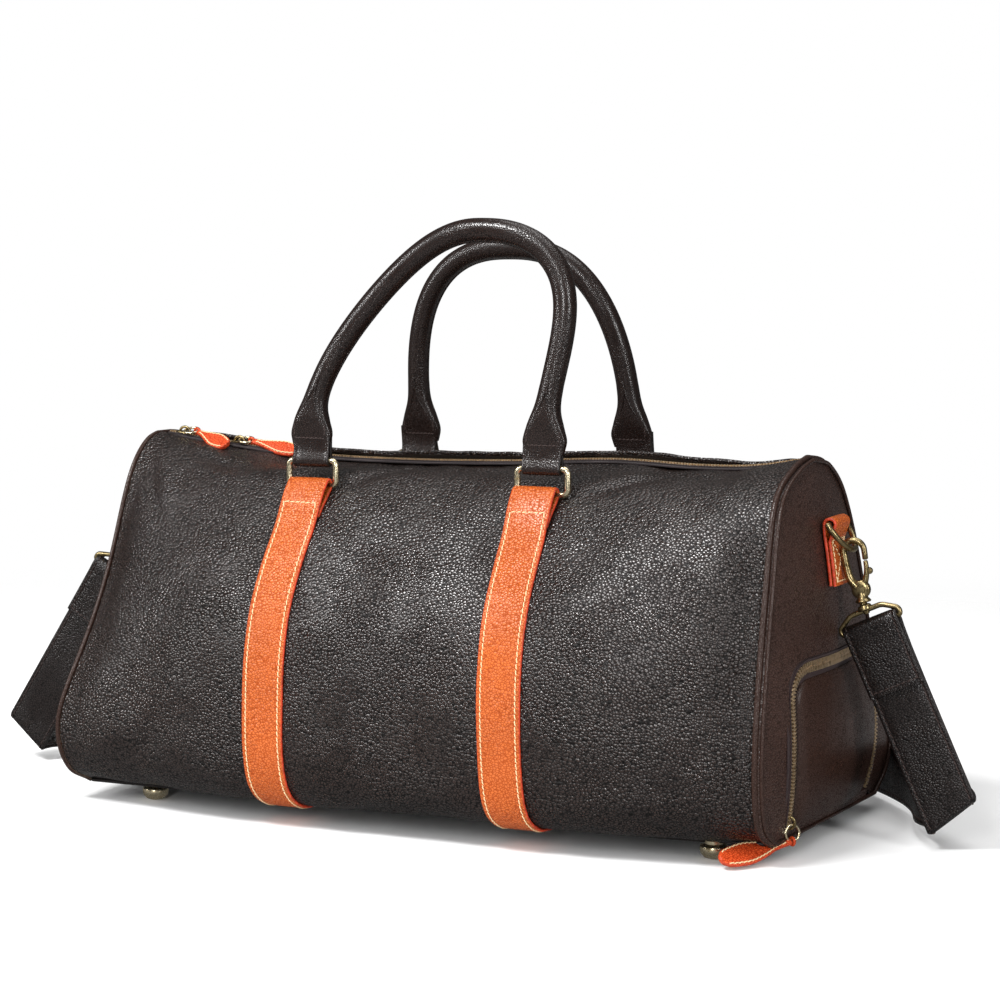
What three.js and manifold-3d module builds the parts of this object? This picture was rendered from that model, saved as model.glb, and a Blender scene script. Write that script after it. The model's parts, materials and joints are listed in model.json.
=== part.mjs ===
// Leather travel duffel bag, in millimetres. +X runs along the bag towards the shoe-pocket end,
// -Y is the front and +Z is up. The origin is on the floor under the middle of the bag.
import * as THREE from "three";
import { mergeVertices } from "three/addons/utils/BufferGeometryUtils.js";
import Module from "manifold-3d";

// Body
const END_X = 243; // where the walls stop and the end panels start
const LEATHER = 3;
const GAP = 0.4; // clearance between pieces that touch on the real bag
const EYE_GAP = 0.8; // clearance of a leather fold round the wire it holds
const BASE_Z = 12;
const ZIP_Z = 243; // middle plane of the top zip
const LIP_Y = 7.5; // half the slot between the two leather lips
const LIP_TOP = ZIP_Z + 3.6;
const END_TOP = LIP_TOP - 5; // the end panels stop short of the lips
const FLAT_X = 105; // the walls keep one section up to this distance from the middle
const TOP_RISE_LEFT = 8; // the top climbs towards the left end, past this x
const RISE_START_LEFT = -190;
const TOP_RISE_RIGHT = 4;
const RISE_START_RIGHT = 205;
const WALL_END = END_X - GAP;
// Stations along a wall, closer together where the section changes
const WALL_X = [-WALL_END, -225, -190, -150, -FLAT_X, 0, FLAT_X, 150, 190, 205, 225, WALL_END];
const WALL_ROWS = 13;
// Section outlines from the base edge to the lip, as [distance from the middle, height]
const FRONT_OUTLINE = [[92, 12], [120, 24], [134, 85], [123, 150], [63, 226], [LIP_Y, LIP_TOP]];
const REAR_OUTLINE = [[92, 12], [120, 24], [134, 85], [129, 150], [86, 218], [LIP_Y, LIP_TOP]];
const END_OUTLINE = [[78, 12], [99, 28], [105, 62], [89, 165], [72, 226], [LIP_Y, LIP_TOP]];

// Ends
const RIGHT_BULGE = 16;
const LEFT_BULGE = 11;
const PIPING_R = 2.2;

// Straps, rings and handles
const STRAP_X = 84.5;
const STRAP_W = 30;
const STRAP_T = 2.2;
const STRAP_LIFT = 1; // between the wall and the strap, which is straight where the wall curves
const FOLD_LENGTH = 22;
const FRONT_RING_AT = 0.817; // how far up the wall outline the ring sits
const REAR_RING_AT = 0.752;
const WIRE_R = 1.75;
const RING_INNER_W = 31;
const RING_DROP = 16.5; // between the two bars of a ring
const LOOP_STEM = 20;
const SEWN_GAP = 2.6; // from the loop to the handle cover, whose end leans
const HANDLE_R = 7.6;
const HANDLE_WALL = 2;
const FLARE = 38; // length over which the handle flattens to its end
const HANDLE_Y_LEAN = { front: 10, rear: 20 };
const BAR_LIFT = STRAP_LIFT + STRAP_T + EYE_GAP + WIRE_R; // from the wall to a ring's lower bar
const HANDLES = {
  front: { half: STRAP_X, height: 126, lean: 36, power: 2 },
  rear: { half: STRAP_X - 2, height: 122, lean: -4, power: 2.5 },
};

// Zip hardware
const TOOTH_IN = 1.3;
const TOOTH_OUT = 3.4;
const TOOTH_HALF = 1.1;
const TAPE_OUT = 9.4;
const SLIDER = { length: 11, half: 4.5, plate: 1.2, web: 0.8, above: 1.7, below: 0.5 };
const ZIP_END = 240;
const ZIP_X = [-ZIP_END, RISE_START_LEFT, RISE_START_RIGHT, ZIP_END];
const TAPE_HALF = 0.35;
const TAPE_DROP = 0.75; // of the tape's middle below that of the teeth
const SLIDER_A_X = -228;
const SLIDER_B_X = -182;
const BRIDGE_R = 3.9;
const PULL_R = 5.2;
const PULL_WIRE = 0.9;
const TAB = { long: 40, short: 26, width: 13, thick: 2.8 };

// Shoe pocket
const ARCH = { low: 80, high: 92, floor: 20, top: 127, round: 24 };
const ZIP_GAP = 9.2; // slot between the end panel and the flap
const FLAP_PUFF = 7;
const FLAP_EDGE = 2.4; // between the zip slot and the edge of the flap
const CHAIN_W = 2.6;
const CHAIN_DEPTH = { top: 0.3, bottom: 2.5 }; // below the face of the end panel
const SHOE_RING_TURN = -0.12;
const SHOE_TAB_TURN = 1.26; // where on the ring the tab hangs, from the far rim towards the front
const SHOE_TAB_SWING = -0.105; // how far the tab swings clear of the corner piping

// Shoulder strap hardware
const WEB_W = 38;
const WEB_T = 2.6;
const D_BAR_Z = 207;
const D_BAR_OFF = 6.2; // from the end panel to the D ring's bar
const D_RADIUS = 18;
const D_WIRE = 1.9;
const D_TILT = THREE.MathUtils.degToRad(50);
const HOOK_R = 6.5;
const HOOK_WIRE = 2;
const FRAME_W = 44;
const DROP_LENGTH = 178;
const RIGHT_DROP_TILT = THREE.MathUtils.degToRad(21);
const LEFT_DROP_TILT = THREE.MathUtils.degToRad(29);
const FRAME_DROP = 50; // from the hook's hanging point to the frame's lower bar
const SLACK_Y = 186; // the slack stands on its edge on the floor behind the bag
const SLACK_Z = WEB_W / 2 + 4.6;
const SLACK_PATH = [
  [338, 16, 26], [346, 50, SLACK_Z], [330, 110, SLACK_Z], [270, 164, SLACK_Z], [150, SLACK_Y, SLACK_Z],
  [-150, SLACK_Y, SLACK_Z], [-275, 166, SLACK_Z], [-348, 112, SLACK_Z], [-368, 52, 24], [-362, 16, 36],
];

const FOOT = { x: 207, y: 76, r: 9 };

const wasm = await Module();
wasm.setup();
const bag = new THREE.Group();
const finish = (color, roughness, metalness) =>
  new THREE.MeshStandardMaterial({ color, roughness, metalness });
const BROWN = finish(0x2b1d19, 0.45, 0);
const ORANGE = finish(0xe5642a, 0.5, 0);
const BRASS = finish(0xc9a869, 0.3, 1);
const TAPE = finish(0x2a2024, 0.8, 0);
const CLOTH = finish(0x3a2c26, 0.9, 0);
const BOARD = finish(0x6b5136, 0.9, 0);

function add(name, geometry, material, parent = bag) {
  const mesh = new THREE.Mesh(geometry, material);
  mesh.name = name;
  parent.add(mesh);
  return mesh;
}

const point = (x, y, z) => new THREE.Vector3(x, y, z);
const ease = (t) => t * t * (3 - 2 * t);
const clamp01 = (t) => Math.min(1, Math.max(0, t));
const steps = (n) => Array.from({ length: n + 1 }, (_, i) => i / n);

// A geometry from points and triangles, turned so that its faces point out.
function solid(points, faces) {
  let volume = 0;
  for (let f = 0; f < faces.length; f += 3) {
    const [a, b, c] = [points[faces[f]], points[faces[f + 1]], points[faces[f + 2]]];
    volume += a.dot(b.clone().cross(c));
  }
  const geometry = new THREE.BufferGeometry().setFromPoints(points);
  geometry.setIndex(volume > 0 ? faces : faces.slice().reverse());
  return geometry;
}

// A sheet of even thickness whose outer face is grid[row][column]; the inner face is offset along the normal.
function sheet(grid, thickness) {
  const rows = grid.length;
  const cols = grid[0].length;
  const at = (i, j) => i * cols + j;
  const normal = (i, j) => {
    const du = grid[Math.min(i + 1, rows - 1)][j].clone().sub(grid[Math.max(i - 1, 0)][j]);
    const dv = grid[i][Math.min(j + 1, cols - 1)].clone().sub(grid[i][Math.max(j - 1, 0)]);
    return du.cross(dv).normalize();
  };
  const outer = grid.flat();
  const inner = grid.flatMap((row, i) =>
    row.map((p, j) => p.clone().addScaledVector(normal(i, j), thickness)));
  const faces = [];
  const quad = (a, b, c, d) => faces.push(a, b, c, a, c, d);
  const off = outer.length;
  for (let i = 0; i < rows - 1; i++) {
    for (let j = 0; j < cols - 1; j++) {
      quad(at(i, j), at(i, j + 1), at(i + 1, j + 1), at(i + 1, j));
      quad(off + at(i, j), off + at(i + 1, j), off + at(i + 1, j + 1), off + at(i, j + 1));
    }
    quad(at(i, 0), at(i + 1, 0), off + at(i + 1, 0), off + at(i, 0));
    quad(at(i + 1, cols - 1), at(i, cols - 1), off + at(i, cols - 1), off + at(i + 1, cols - 1));
  }
  for (let j = 0; j < cols - 1; j++) {
    quad(at(0, j + 1), at(0, j), off + at(0, j), off + at(0, j + 1));
    quad(at(rows - 1, j), at(rows - 1, j + 1), off + at(rows - 1, j + 1), off + at(rows - 1, j));
  }
  return solid([...outer, ...inner], faces);
}

// A solid through a list of equal loops; a closed one joins its last loop to its first.
function loft(loops, closed = false) {
  const n = loops[0].length;
  const points = loops.flat();
  const faces = [];
  const last = closed ? loops.length : loops.length - 1;
  for (let i = 0; i < last; i++) {
    const next = (i + 1) % loops.length;
    for (let j = 0; j < n; j++) {
      const k = (j + 1) % n;
      faces.push(i * n + j, i * n + k, next * n + k, i * n + j, next * n + k, next * n + j);
    }
  }
  if (!closed) {
    for (const [start, flip] of [[0, true], [(loops.length - 1) * n, false]]) {
      for (let j = 1; j < n - 1; j++) {
        faces.push(start, start + (flip ? j + 1 : j), start + (flip ? j : j + 1));
      }
    }
  }
  return solid(points, faces);
}

const ellipse = (a, b, n) => steps(n - 1).map((t) => (t * (n - 1) * 2 * Math.PI) / n)
  .map((w) => [a * Math.cos(w), b * Math.sin(w)]);

// Loops of a section [across the curve, along the plane normal] placed along a path that lies in one plane.
function sweep(path, normal, section, closed = false) {
  const n = path.length;
  return path.map((p, i) => {
    const before = path[closed ? (i + n - 1) % n : Math.max(i - 1, 0)];
    const after = path[closed ? (i + 1) % n : Math.min(i + 1, n - 1)];
    const across = after.clone().sub(before).cross(normal).normalize();
    return section(i / (n - 1)).map(([a, b]) =>
      p.clone().addScaledVector(across, a).addScaledVector(normal, b));
  });
}

function toManifold(geometry) {
  const bare = geometry.clone();
  bare.deleteAttribute("normal");
  bare.deleteAttribute("uv");
  const merged = mergeVertices(bare, 1e-4);
  const mesh = new wasm.Mesh({
    numProp: 3,
    vertProperties: new Float32Array(merged.attributes.position.array),
    triVerts: new Uint32Array(merged.index.array),
  });
  return new wasm.Manifold(mesh);
}

function fromManifold(manifold) {
  const mesh = manifold.getMesh();
  const geometry = new THREE.BufferGeometry();
  geometry.setAttribute("position", new THREE.BufferAttribute(mesh.vertProperties, 3));
  geometry.setIndex(new THREE.BufferAttribute(mesh.triVerts, 1));
  return geometry;
}

const join = (first, ...rest) =>
  fromManifold(rest.reduce((sum, g) => sum.add(toManifold(g)), toManifold(first)));
const cut = (first, ...rest) =>
  fromManifold(rest.reduce((left, g) => left.subtract(toManifold(g)), toManifold(first)));

// A flat outline [u, v] pushed along +X, centred on x = 0, with u along Y and v along Z.
function slab(outline, width, hole) {
  const shape = new THREE.Shape(outline.map(([u, v]) => new THREE.Vector2(u, v)));
  if (hole) shape.holes.push(new THREE.Path().absarc(hole.u, hole.v, hole.r, 0, 2 * Math.PI));
  const geometry = new THREE.ExtrudeGeometry(shape, { depth: width, bevelEnabled: false, curveSegments: 5 });
  const turn = new THREE.Matrix4().makeBasis(point(0, 1, 0), point(0, 0, 1), point(1, 0, 0));
  return geometry.translate(0, 0, -width / 2).applyMatrix4(turn);
}

// The outline of a strip that follows a flat path at an even thickness.
function thicken(path, thickness) {
  const side = (sign) => path.map(([u, v], i) => {
    const [au, av] = path[Math.max(i - 1, 0)];
    const [bu, bv] = path[Math.min(i + 1, path.length - 1)];
    const length = Math.hypot(bu - au, bv - av);
    const reach = (sign * thickness) / 2 / length;
    return [u - (bv - av) * reach, v + (bu - au) * reach];
  });
  return [...side(1), ...side(-1).reverse()];
}

// ---------- walls ----------
const curveOf = (outline) =>
  new THREE.CatmullRomCurve3(outline.map(([u, v]) => point(0, u, v)), false, "centripetal");
const END_CURVE = curveOf(END_OUTLINE);
const SIDES = {
  front: { sign: -1, curve: curveOf(FRONT_OUTLINE), ringAt: FRONT_RING_AT },
  rear: { sign: 1, curve: curveOf(REAR_OUTLINE), ringAt: REAR_RING_AT },
};

function topRise(x) {
  if (x < RISE_START_LEFT) return (TOP_RISE_LEFT * (RISE_START_LEFT - x)) / (END_X + RISE_START_LEFT);
  return (TOP_RISE_RIGHT * Math.max(0, x - RISE_START_RIGHT)) / (END_X - RISE_START_RIGHT);
}

// A point on a wall's outer face: x along the bag, u from 0 at the base edge to 1 at the lip.
function wallPoint(side, x, u) {
  const t = clamp01((Math.abs(x) - FLAT_X) / (END_X - FLAT_X));
  const p = side.curve.getPointAt(u).lerp(END_CURVE.getPointAt(u), t * t);
  return point(x, side.sign * p.y, p.z + topRise(x) * ease(clamp01((u - 0.6) / 0.4)));
}

// Place, outward normal and upward tangent of the wall outline in the middle, as [distance, height] pairs.
function wallFrame(side, u) {
  const p = side.curve.getPointAt(u);
  const t = side.curve.getTangentAt(u);
  return { p: [p.y, p.z], t: [t.y, t.z], n: [t.z, -t.y] };
}

for (const [name, side] of Object.entries(SIDES)) {
  const grid = WALL_X.map((x) => steps(WALL_ROWS).map((u) => wallPoint(side, x, u)));
  add(`${name}_panel`, sheet(grid, LEATHER * side.sign), BROWN);
}

function basePanel(inset, z, thickness, endX) {
  const grid = [-endX, -FLAT_X, FLAT_X, endX].map((x) => [-1, 1].map((sign) => {
    const half = wallPoint(SIDES.rear, x, 0).y - inset;
    return point(x, sign * half, z);
  }));
  return sheet(grid, thickness);
}
add("base_panel", basePanel(2.8, BASE_Z, LEATHER, END_X - 1), BROWN);
add("base_stiffener", basePanel(9, BASE_Z + LEATHER + GAP, 2.5, 226), BOARD);

// ---------- end panels ----------
const endHalf = (z) => {
  const spots = steps(80).map((u) => END_CURVE.getPointAt(u));
  const i = spots.findIndex((p) => p.z >= z);
  const [a, b] = [spots[Math.max(i - 1, 0)], spots[Math.max(i, 1)]];
  return THREE.MathUtils.mapLinear(z, a.z, b.z, a.y, b.y);
};
const dome = (y, z, bulge) => {
  const up = clamp01((z - BASE_Z) / (LIP_TOP - BASE_Z));
  return bulge * Math.max(0, 1 - (y / endHalf(z)) ** 2) * Math.sin(Math.PI * up);
};

function endPanel(bulge) {
  const outerX = END_X + GAP + LEATHER;
  const grid = steps(11).map((t) => {
    const z = THREE.MathUtils.lerp(BASE_Z + 1, END_TOP, t);
    return steps(8).map((s) => {
      const y = (2 * s - 1) * endHalf(z);
      return point(outerX + dome(y, z, bulge), y, z);
    });
  });
  return sheet(grid, LEATHER);
}

// The arch of the shoe-pocket opening, from its front foot to its rear foot, as [y, z] pairs.
function archPoints(inset) {
  const { low, high, floor, top, round } = ARCH;
  const reach = round - inset / 2;
  const path = new THREE.Path();
  path.moveTo(-(low - inset), floor);
  path.lineTo(-(high - inset), top - inset - reach);
  path.quadraticCurveTo(-(high - inset), top - inset, -(high - inset - reach), top - inset);
  path.lineTo(high - inset - reach, top - inset);
  path.quadraticCurveTo(high - inset, top - inset, high - inset, top - inset - reach);
  path.lineTo(low - inset, floor);
  return path.getPoints(5).map((p) => [p.x, p.y]);
}

const prism = slab([...archPoints(0), [ARCH.low, ARCH.floor - 1], [-ARCH.low, ARCH.floor - 1]], 60)
  .translate(END_X, 0, 0);
add("right_end_panel", cut(endPanel(RIGHT_BULGE), prism), BROWN);
add("left_end_panel", endPanel(LEFT_BULGE), BROWN).rotation.z = Math.PI;

// Corded piping round an end, standing just off the leather edge.
function piping() {
  const half = steps(15).map((u) => END_CURVE.getPointAt(u)).filter((p) => p.y > 20);
  const loop = [...half, ...half.map((p) => point(0, -p.y, p.z)).reverse()];
  const path = loop.map((p) => {
    const away = point(0, p.y, (p.z - 125) * 0.8).normalize();
    return p.clone().addScaledVector(away, PIPING_R + 2).setX(END_X + PIPING_R + GAP / 2);
  });
  return loft(sweep(path, point(1, 0, 0), () => ellipse(PIPING_R, PIPING_R, 6), true), true);
}
add("right_piping", piping(), BROWN);
add("left_piping", piping(), BROWN).rotation.z = Math.PI;

// ---------- top zip ----------
const zipZ = (x) => ZIP_Z + topRise(x);

// A straight-sided bar that follows the zip at a distance from its middle.
function zipBar(sign, inside, outside, halfHeight) {
  return loft(ZIP_X.map((x) => [
    point(x, sign * inside, zipZ(x) - halfHeight),
    point(x, sign * outside, zipZ(x) - halfHeight),
    point(x, sign * outside, zipZ(x) + halfHeight),
    point(x, sign * inside, zipZ(x) + halfHeight),
  ]));
}
for (const [name, side] of Object.entries(SIDES)) {
  add(`${name}_zip_teeth`, zipBar(side.sign, TOOTH_IN, TOOTH_OUT, TOOTH_HALF), BRASS);
  // The tape sits between the teeth and the leather, and ends before it reaches the sheet.
  add(`${name}_zip_tape`, zipBar(side.sign, TOOTH_OUT + GAP, TAPE_OUT, TAPE_HALF).translate(0, 0, -TAPE_DROP),
    TAPE);
}

// Slider along +X: two plates joined by a web, with a bridge for the pull ring on top.
function sliderBody() {
  const { length, half, plate, web, above, below } = SLIDER;
  const top = TOOTH_HALF + above;
  const bottom = -TOOTH_HALF - 0.4 - below;
  const outline = [
    [-half, bottom - plate], [half, bottom - plate], [half, bottom], [web, bottom], [web, top], [half, top],
    [half, top + plate], [-half, top + plate], [-half, top], [-web, top], [-web, bottom], [-half, bottom],
  ];
  const arc = steps(6).map((t) => Math.PI * t).map((w) => [BRIDGE_R * Math.cos(w), BRIDGE_R * Math.sin(w)]);
  const path = [[BRIDGE_R, -0.5], ...arc, [-BRIDGE_R, -0.5]].map(([x, z]) => point(x, 0, z + top + plate));
  const bridge = loft(sweep(path, point(0, 1, 0), () => ellipse(0.8, 0.8, 6)));
  return join(slab(outline, length), bridge);
}

// A ring in the XY plane whose rim passes through the origin, reaching along +X.
function pullRing() {
  return new THREE.TorusGeometry(PULL_R, PULL_WIRE, 6, 14).translate(PULL_R, 0, 0);
}

// A leaf-shaped leather tab whose eye holds the ring, with the eye's bore along Y and the leaf along +X.
function pullTab(length, twist) {
  const { width, thick } = TAB;
  const shape = new THREE.Shape();
  shape.moveTo(2, -2);
  shape.quadraticCurveTo(length * 0.45, -width * 0.35, length * 0.62, -width / 2);
  shape.quadraticCurveTo(length, -width / 2, length, 0);
  shape.quadraticCurveTo(length, width / 2, length * 0.62, width / 2);
  shape.quadraticCurveTo(length * 0.45, width * 0.35, 2, 2);
  const leaf = new THREE.ExtrudeGeometry(shape, { depth: thick, bevelEnabled: false, curveSegments: 4 });
  const bore = new THREE.CylinderGeometry(1.6, 1.6, 20, 8);
  const eye = new THREE.CylinderGeometry(2.9, 2.9, 4, 10);
  return cut(join(leaf.translate(0, 0, -thick / 2).rotateX(twist), eye), bore);
}

// A slider lying along its group's X with its pull ring hinged on the bridge; returns both groups.
function sliderSet(name) {
  const slider = new THREE.Group();
  bag.add(slider);
  add(`${name}_slider`, sliderBody(), BRASS, slider);
  const ring = new THREE.Group();
  ring.position.set(1, 0, TOOTH_HALF + SLIDER.above + SLIDER.plate + 1.4);
  slider.add(ring);
  add(`${name}_pull_ring`, pullRing(), BRASS, ring);
  return { slider, ring };
}

for (const [name, x, tabLength] of [["left", SLIDER_A_X, TAB.short], ["main", SLIDER_B_X, TAB.long]]) {
  const { slider, ring } = sliderSet(name);
  slider.position.set(x, 0, zipZ(x));
  slider.rotation.y = Math.atan2(zipZ(x - 1) - zipZ(x + 1), 2);
  add(`${name}_pull_tab`, pullTab(tabLength, 0), ORANGE, ring).position.set(2 * PULL_R, 0, 0);
}

// ---------- shoe pocket ----------
const endX = (y, z) => END_X + GAP + LEATHER + dome(y, z, RIGHT_BULGE);

// The flap is cut from a copy of the end panel and puffed outwards.
function shoeFlap() {
  const inset = ZIP_GAP + FLAP_EDGE;
  const { floor } = ARCH;
  const top = ARCH.top - inset;
  const grid = steps(8).map((t) => {
    const z = THREE.MathUtils.lerp(floor, top, ease(t));
    const crossing = archPoints(inset).filter(([y]) => y < 0);
    const i = Math.max(1, crossing.findIndex((p) => p[1] >= z - 1e-6));
    const [a, b] = [crossing[i - 1], crossing[i]];
    const half = -THREE.MathUtils.mapLinear(z, a[1], b[1], a[0], b[0]);
    const puff = FLAP_PUFF * Math.sin(Math.PI * clamp01((z - floor) / (top - floor)));
    return steps(8).map((s) => {
      const y = (2 * s - 1) * half;
      return point(endX(y, z) + puff * (1 - (2 * s - 1) ** 2), y, z);
    });
  });
  return sheet(grid, LEATHER);
}
add("shoe_flap", shoeFlap(), BROWN);

// The arch with the first part of both its legs cut off, up to the height start.
function archFrom(inset, start) {
  const path = archPoints(inset);
  const part = (start - path[0][1]) / (path[1][1] - path[0][1]);
  const trim = (foot, above) => foot.map((v, i) => THREE.MathUtils.lerp(v, above[i], part));
  return [trim(path[0], path[1]), ...path.slice(1, -1), trim(path.at(-1), path.at(-2))];
}

// A bar that follows the arch; the flap's side starts higher, clear of the resting slider.
function archBar(from, to, start) {
  const inner = archFrom(to, start);
  return loft(archFrom(from, start).map(([y, z], i) => {
    const [v, w] = inner[i];
    const corner = (a, b, depth) => point(endX(a, b) - depth, a, b);
    const { top, bottom } = CHAIN_DEPTH;
    return [corner(y, z, top), corner(v, w, top), corner(v, w, bottom), corner(y, z, bottom)];
  }));
}
add("shoe_zip_teeth_body", archBar(GAP, GAP + CHAIN_W, ARCH.floor + 1), BRASS);
add("shoe_zip_teeth_flap", archBar(ZIP_GAP - GAP - CHAIN_W, ZIP_GAP - GAP, ARCH.floor + 16), BRASS);

// ---------- orange straps, rings and handles ----------
function ringPath(width, height, round, corner) {
  const shape = new THREE.Path();
  const [w, h, r] = [width / 2, height / 2, round];
  const quarter = Math.PI / 2;
  for (const [cx, cy, turn] of [[w - r, h - r, 0], [r - w, h - r, 1], [r - w, r - h, 2], [w - r, r - h, 3]]) {
    shape.absarc(cx, cy, r, turn * quarter, (turn + 1) * quarter);
  }
  return shape.getPoints(corner).filter((p, i, all) => i === 0 || p.distanceTo(all[i - 1]) > 1e-3);
}

// A rectangular wire ring in the XZ plane, its lower bar along X at the origin.
function wireRing(innerWidth, drop, wire) {
  const flat = ringPath(innerWidth + 2 * wire, drop, 4, 2);
  const path = flat.map((p) => point(p.x, 0, p.y + drop / 2));
  return loft(sweep(path, point(0, 1, 0), () => ellipse(wire, wire, 6), true), true);
}

// Strap strip: up the wall, under and over the ring's lower bar, and down again on top of itself.
function strapStrip(side) {
  const lay = STRAP_LIFT + STRAP_T / 2;
  const wrap = WIRE_R + EYE_GAP + STRAP_T / 2;
  const off = (frame, n, t) => [
    frame.p[0] + n * frame.n[0] + t * frame.t[0],
    frame.p[1] + n * frame.n[1] + t * frame.t[1],
  ];
  const climb = steps(14).map((s) => off(wallFrame(side, 0.03 + (side.ringAt - 0.03) * s), lay, 0));
  const ring = wallFrame(side, side.ringAt);
  const round = steps(6).slice(1).map((s) =>
    off(ring, lay + wrap * (1 - Math.cos(Math.PI * s)), wrap * Math.sin(Math.PI * s)));
  const length = side.curve.getLength();
  const fold = [8, 15, FOLD_LENGTH].map((d) =>
    off(wallFrame(side, side.ringAt - d / length), lay + STRAP_T + GAP, 0));
  const outline = thicken([...climb, ...round, ...fold], STRAP_T);
  return slab(outline.map(([u, v]) => [side.sign * u, v]), STRAP_W);
}

function lowerBar(side) {
  const { p, n } = wallFrame(side, side.ringAt);
  return [side.sign * (p[0] + BAR_LIFT * n[0]), p[1] + BAR_LIFT * n[1]];
}

// Leather loop round a ring's upper bar, with a two-layer stem that the handle is sewn to.
function ringLoop() {
  const eye = WIRE_R + EYE_GAP;
  const outer = eye + 2.2;
  const arc = steps(8).map((t) => Math.PI * (0.82 + 1.36 * t))
    .map((w) => [outer * Math.cos(w), outer * Math.sin(w)]);
  return slab([[2.5, LOOP_STEM], [-2.5, LOOP_STEM], ...arc], STRAP_W - 1, { u: 0, v: 0, r: eye });
}

// Handle centreline in its own plane: a rounded arch that leans along the bag.
function archCentre(half, height, lean, power, n) {
  return steps(n).map((t) => {
    const w = Math.PI * (1 - t);
    const c = Math.cos(w);
    const rise = Math.abs(Math.sin(w)) ** (2 / power);
    const x = half * Math.sign(c) * Math.abs(c) ** (2 / power) + lean * ease(rise);
    return point(x, 0, height * rise);
  });
}

const flareAt = (t, length) => ease(clamp01((FLARE / length - Math.min(t, 1 - t)) / (FLARE / length)));

// Rolled leather cover with its seam on the inside of the arch, and the cord that fills it.
function handleCover(path, length) {
  const loops = sweep(path, point(0, 1, 0), (t) => {
    const f = flareAt(t, length);
    const [a, b] = [HANDLE_R + f * (STRAP_W / 2 - HANDLE_R), HANDLE_R - f * (HANDLE_R - 4)];
    const slit = 0.06; // half the angle left open along the seam
    return steps(9).map((s) => slit + s * (2 * Math.PI - 2 * slit))
      .map((w) => [-a * Math.cos(w), b * Math.sin(w)]);
  });
  return sheet(loops, HANDLE_WALL);
}

function handleCore(path, length) {
  const inner = path.slice(3, -3);
  const r = HANDLE_R - HANDLE_WALL - GAP - 0.5;
  return loft(sweep(inner, point(0, 1, 0), () => ellipse(r, r, 8)));
}

for (const [name, side] of Object.entries(SIDES)) {
  const [barY, barZ] = lowerBar(side);
  for (const [hand, x] of [["left", -STRAP_X], ["right", STRAP_X]]) {
    add(`${name}_strap_${hand}`, strapStrip(side), ORANGE).position.x = x;
    add(`${name}_ring_${hand}`, wireRing(RING_INNER_W, RING_DROP, WIRE_R), BRASS).position.set(x, barY, barZ);
  }
  const handle = new THREE.Group();
  handle.position.set(0, barY, barZ + RING_DROP);
  bag.add(handle);
  const { half, height, lean, power } = HANDLES[name];
  const shift = HANDLE_Y_LEAN[name];
  handle.rotation.x = side.sign * Math.asin(shift / (height + LOOP_STEM));
  for (const [hand, x] of [["left", -STRAP_X], ["right", STRAP_X]]) {
    add(`${name}_handle_loop_${hand}`, ringLoop(), BROWN, handle).position.x = x;
  }
  const path = archCentre(half, height, lean, power, 24).map((p) => p.setZ(p.z + LOOP_STEM + SEWN_GAP));
  const length = path.slice(1).reduce((sum, p, i) => sum + p.distanceTo(path[i]), 0);
  add(`${name}_handle_cover`, handleCover(path, length), BROWN, handle);
  add(`${name}_handle_core`, handleCore(path, length), CLOTH, handle);
}

// ---------- shoe pocket slider ----------
// It rests near the foot of the front leg: its own X points down the leg and its Z points out of the bag.
const [legFoot, legTop] = archPoints(ZIP_GAP / 2).map(([y, z]) => point(endX(y, z) - 1.4, y, z));
const legDown = legFoot.clone().sub(legTop).normalize();
const legSide = point(1, 0, 0).cross(legDown).normalize();
const shoe = sliderSet("shoe");
shoe.slider.position.copy(legFoot).addScaledVector(legDown, -8);
shoe.slider.quaternion.setFromRotationMatrix(
  new THREE.Matrix4().makeBasis(legDown, legSide, legDown.clone().cross(legSide)));
shoe.ring.rotation.y = SHOE_RING_TURN;
const shoeTab = new THREE.Group();
shoeTab.position.set(PULL_R * (1 + Math.cos(SHOE_TAB_TURN)), -PULL_R * Math.sin(SHOE_TAB_TURN), 0);
shoeTab.rotation.z = -SHOE_TAB_TURN;
shoeTab.rotateY(SHOE_TAB_SWING);
shoe.ring.add(shoeTab);
const shoeLeaf = add("shoe_pull_tab", pullTab(TAB.long, Math.PI / 2), ORANGE, shoeTab);
shoeLeaf.rotation.y = 0.05;

// ---------- end tabs, D rings and shoulder strap ----------
const endFace = (z, bulge) => END_X + GAP + LEATHER + dome(0, z, bulge);
function endTab(bulge) {
  const lay = 0.6 + STRAP_T / 2;
  const wrap = D_WIRE + EYE_GAP + STRAP_T / 2;
  const face = (z) => endFace(z, bulge);
  const rise = steps(4).map((t) => THREE.MathUtils.lerp(170, 200, t)).map((z) => [face(z) + lay, z]);
  const round = steps(6).map((t) => Math.PI * (1 - t)).map((w) =>
    [face(D_BAR_Z) + D_BAR_OFF + wrap * Math.cos(w), D_BAR_Z + wrap * Math.sin(w)]);
  const fall = [192, 181, 170].map((z) => [face(z) + lay + STRAP_T + GAP, z]);
  return slab(thicken([...rise, ...round, ...fall], STRAP_T), STRAP_W);
}

// A D ring hanging from its bar at the origin, bar along Y, arc down.
function dRing() {
  const r = D_RADIUS;
  const arc = steps(10).map((t) => Math.PI * (1 + t)).map((w) => point(0, r * Math.cos(w), r * Math.sin(w)));
  const bar = [0.5, 0, -0.5].map((t) => point(0, t * r * 1.4, 0));
  return loft(sweep([...arc, ...bar], point(1, 0, 0), () => ellipse(D_WIRE, D_WIRE, 6), true), true);
}

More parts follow.
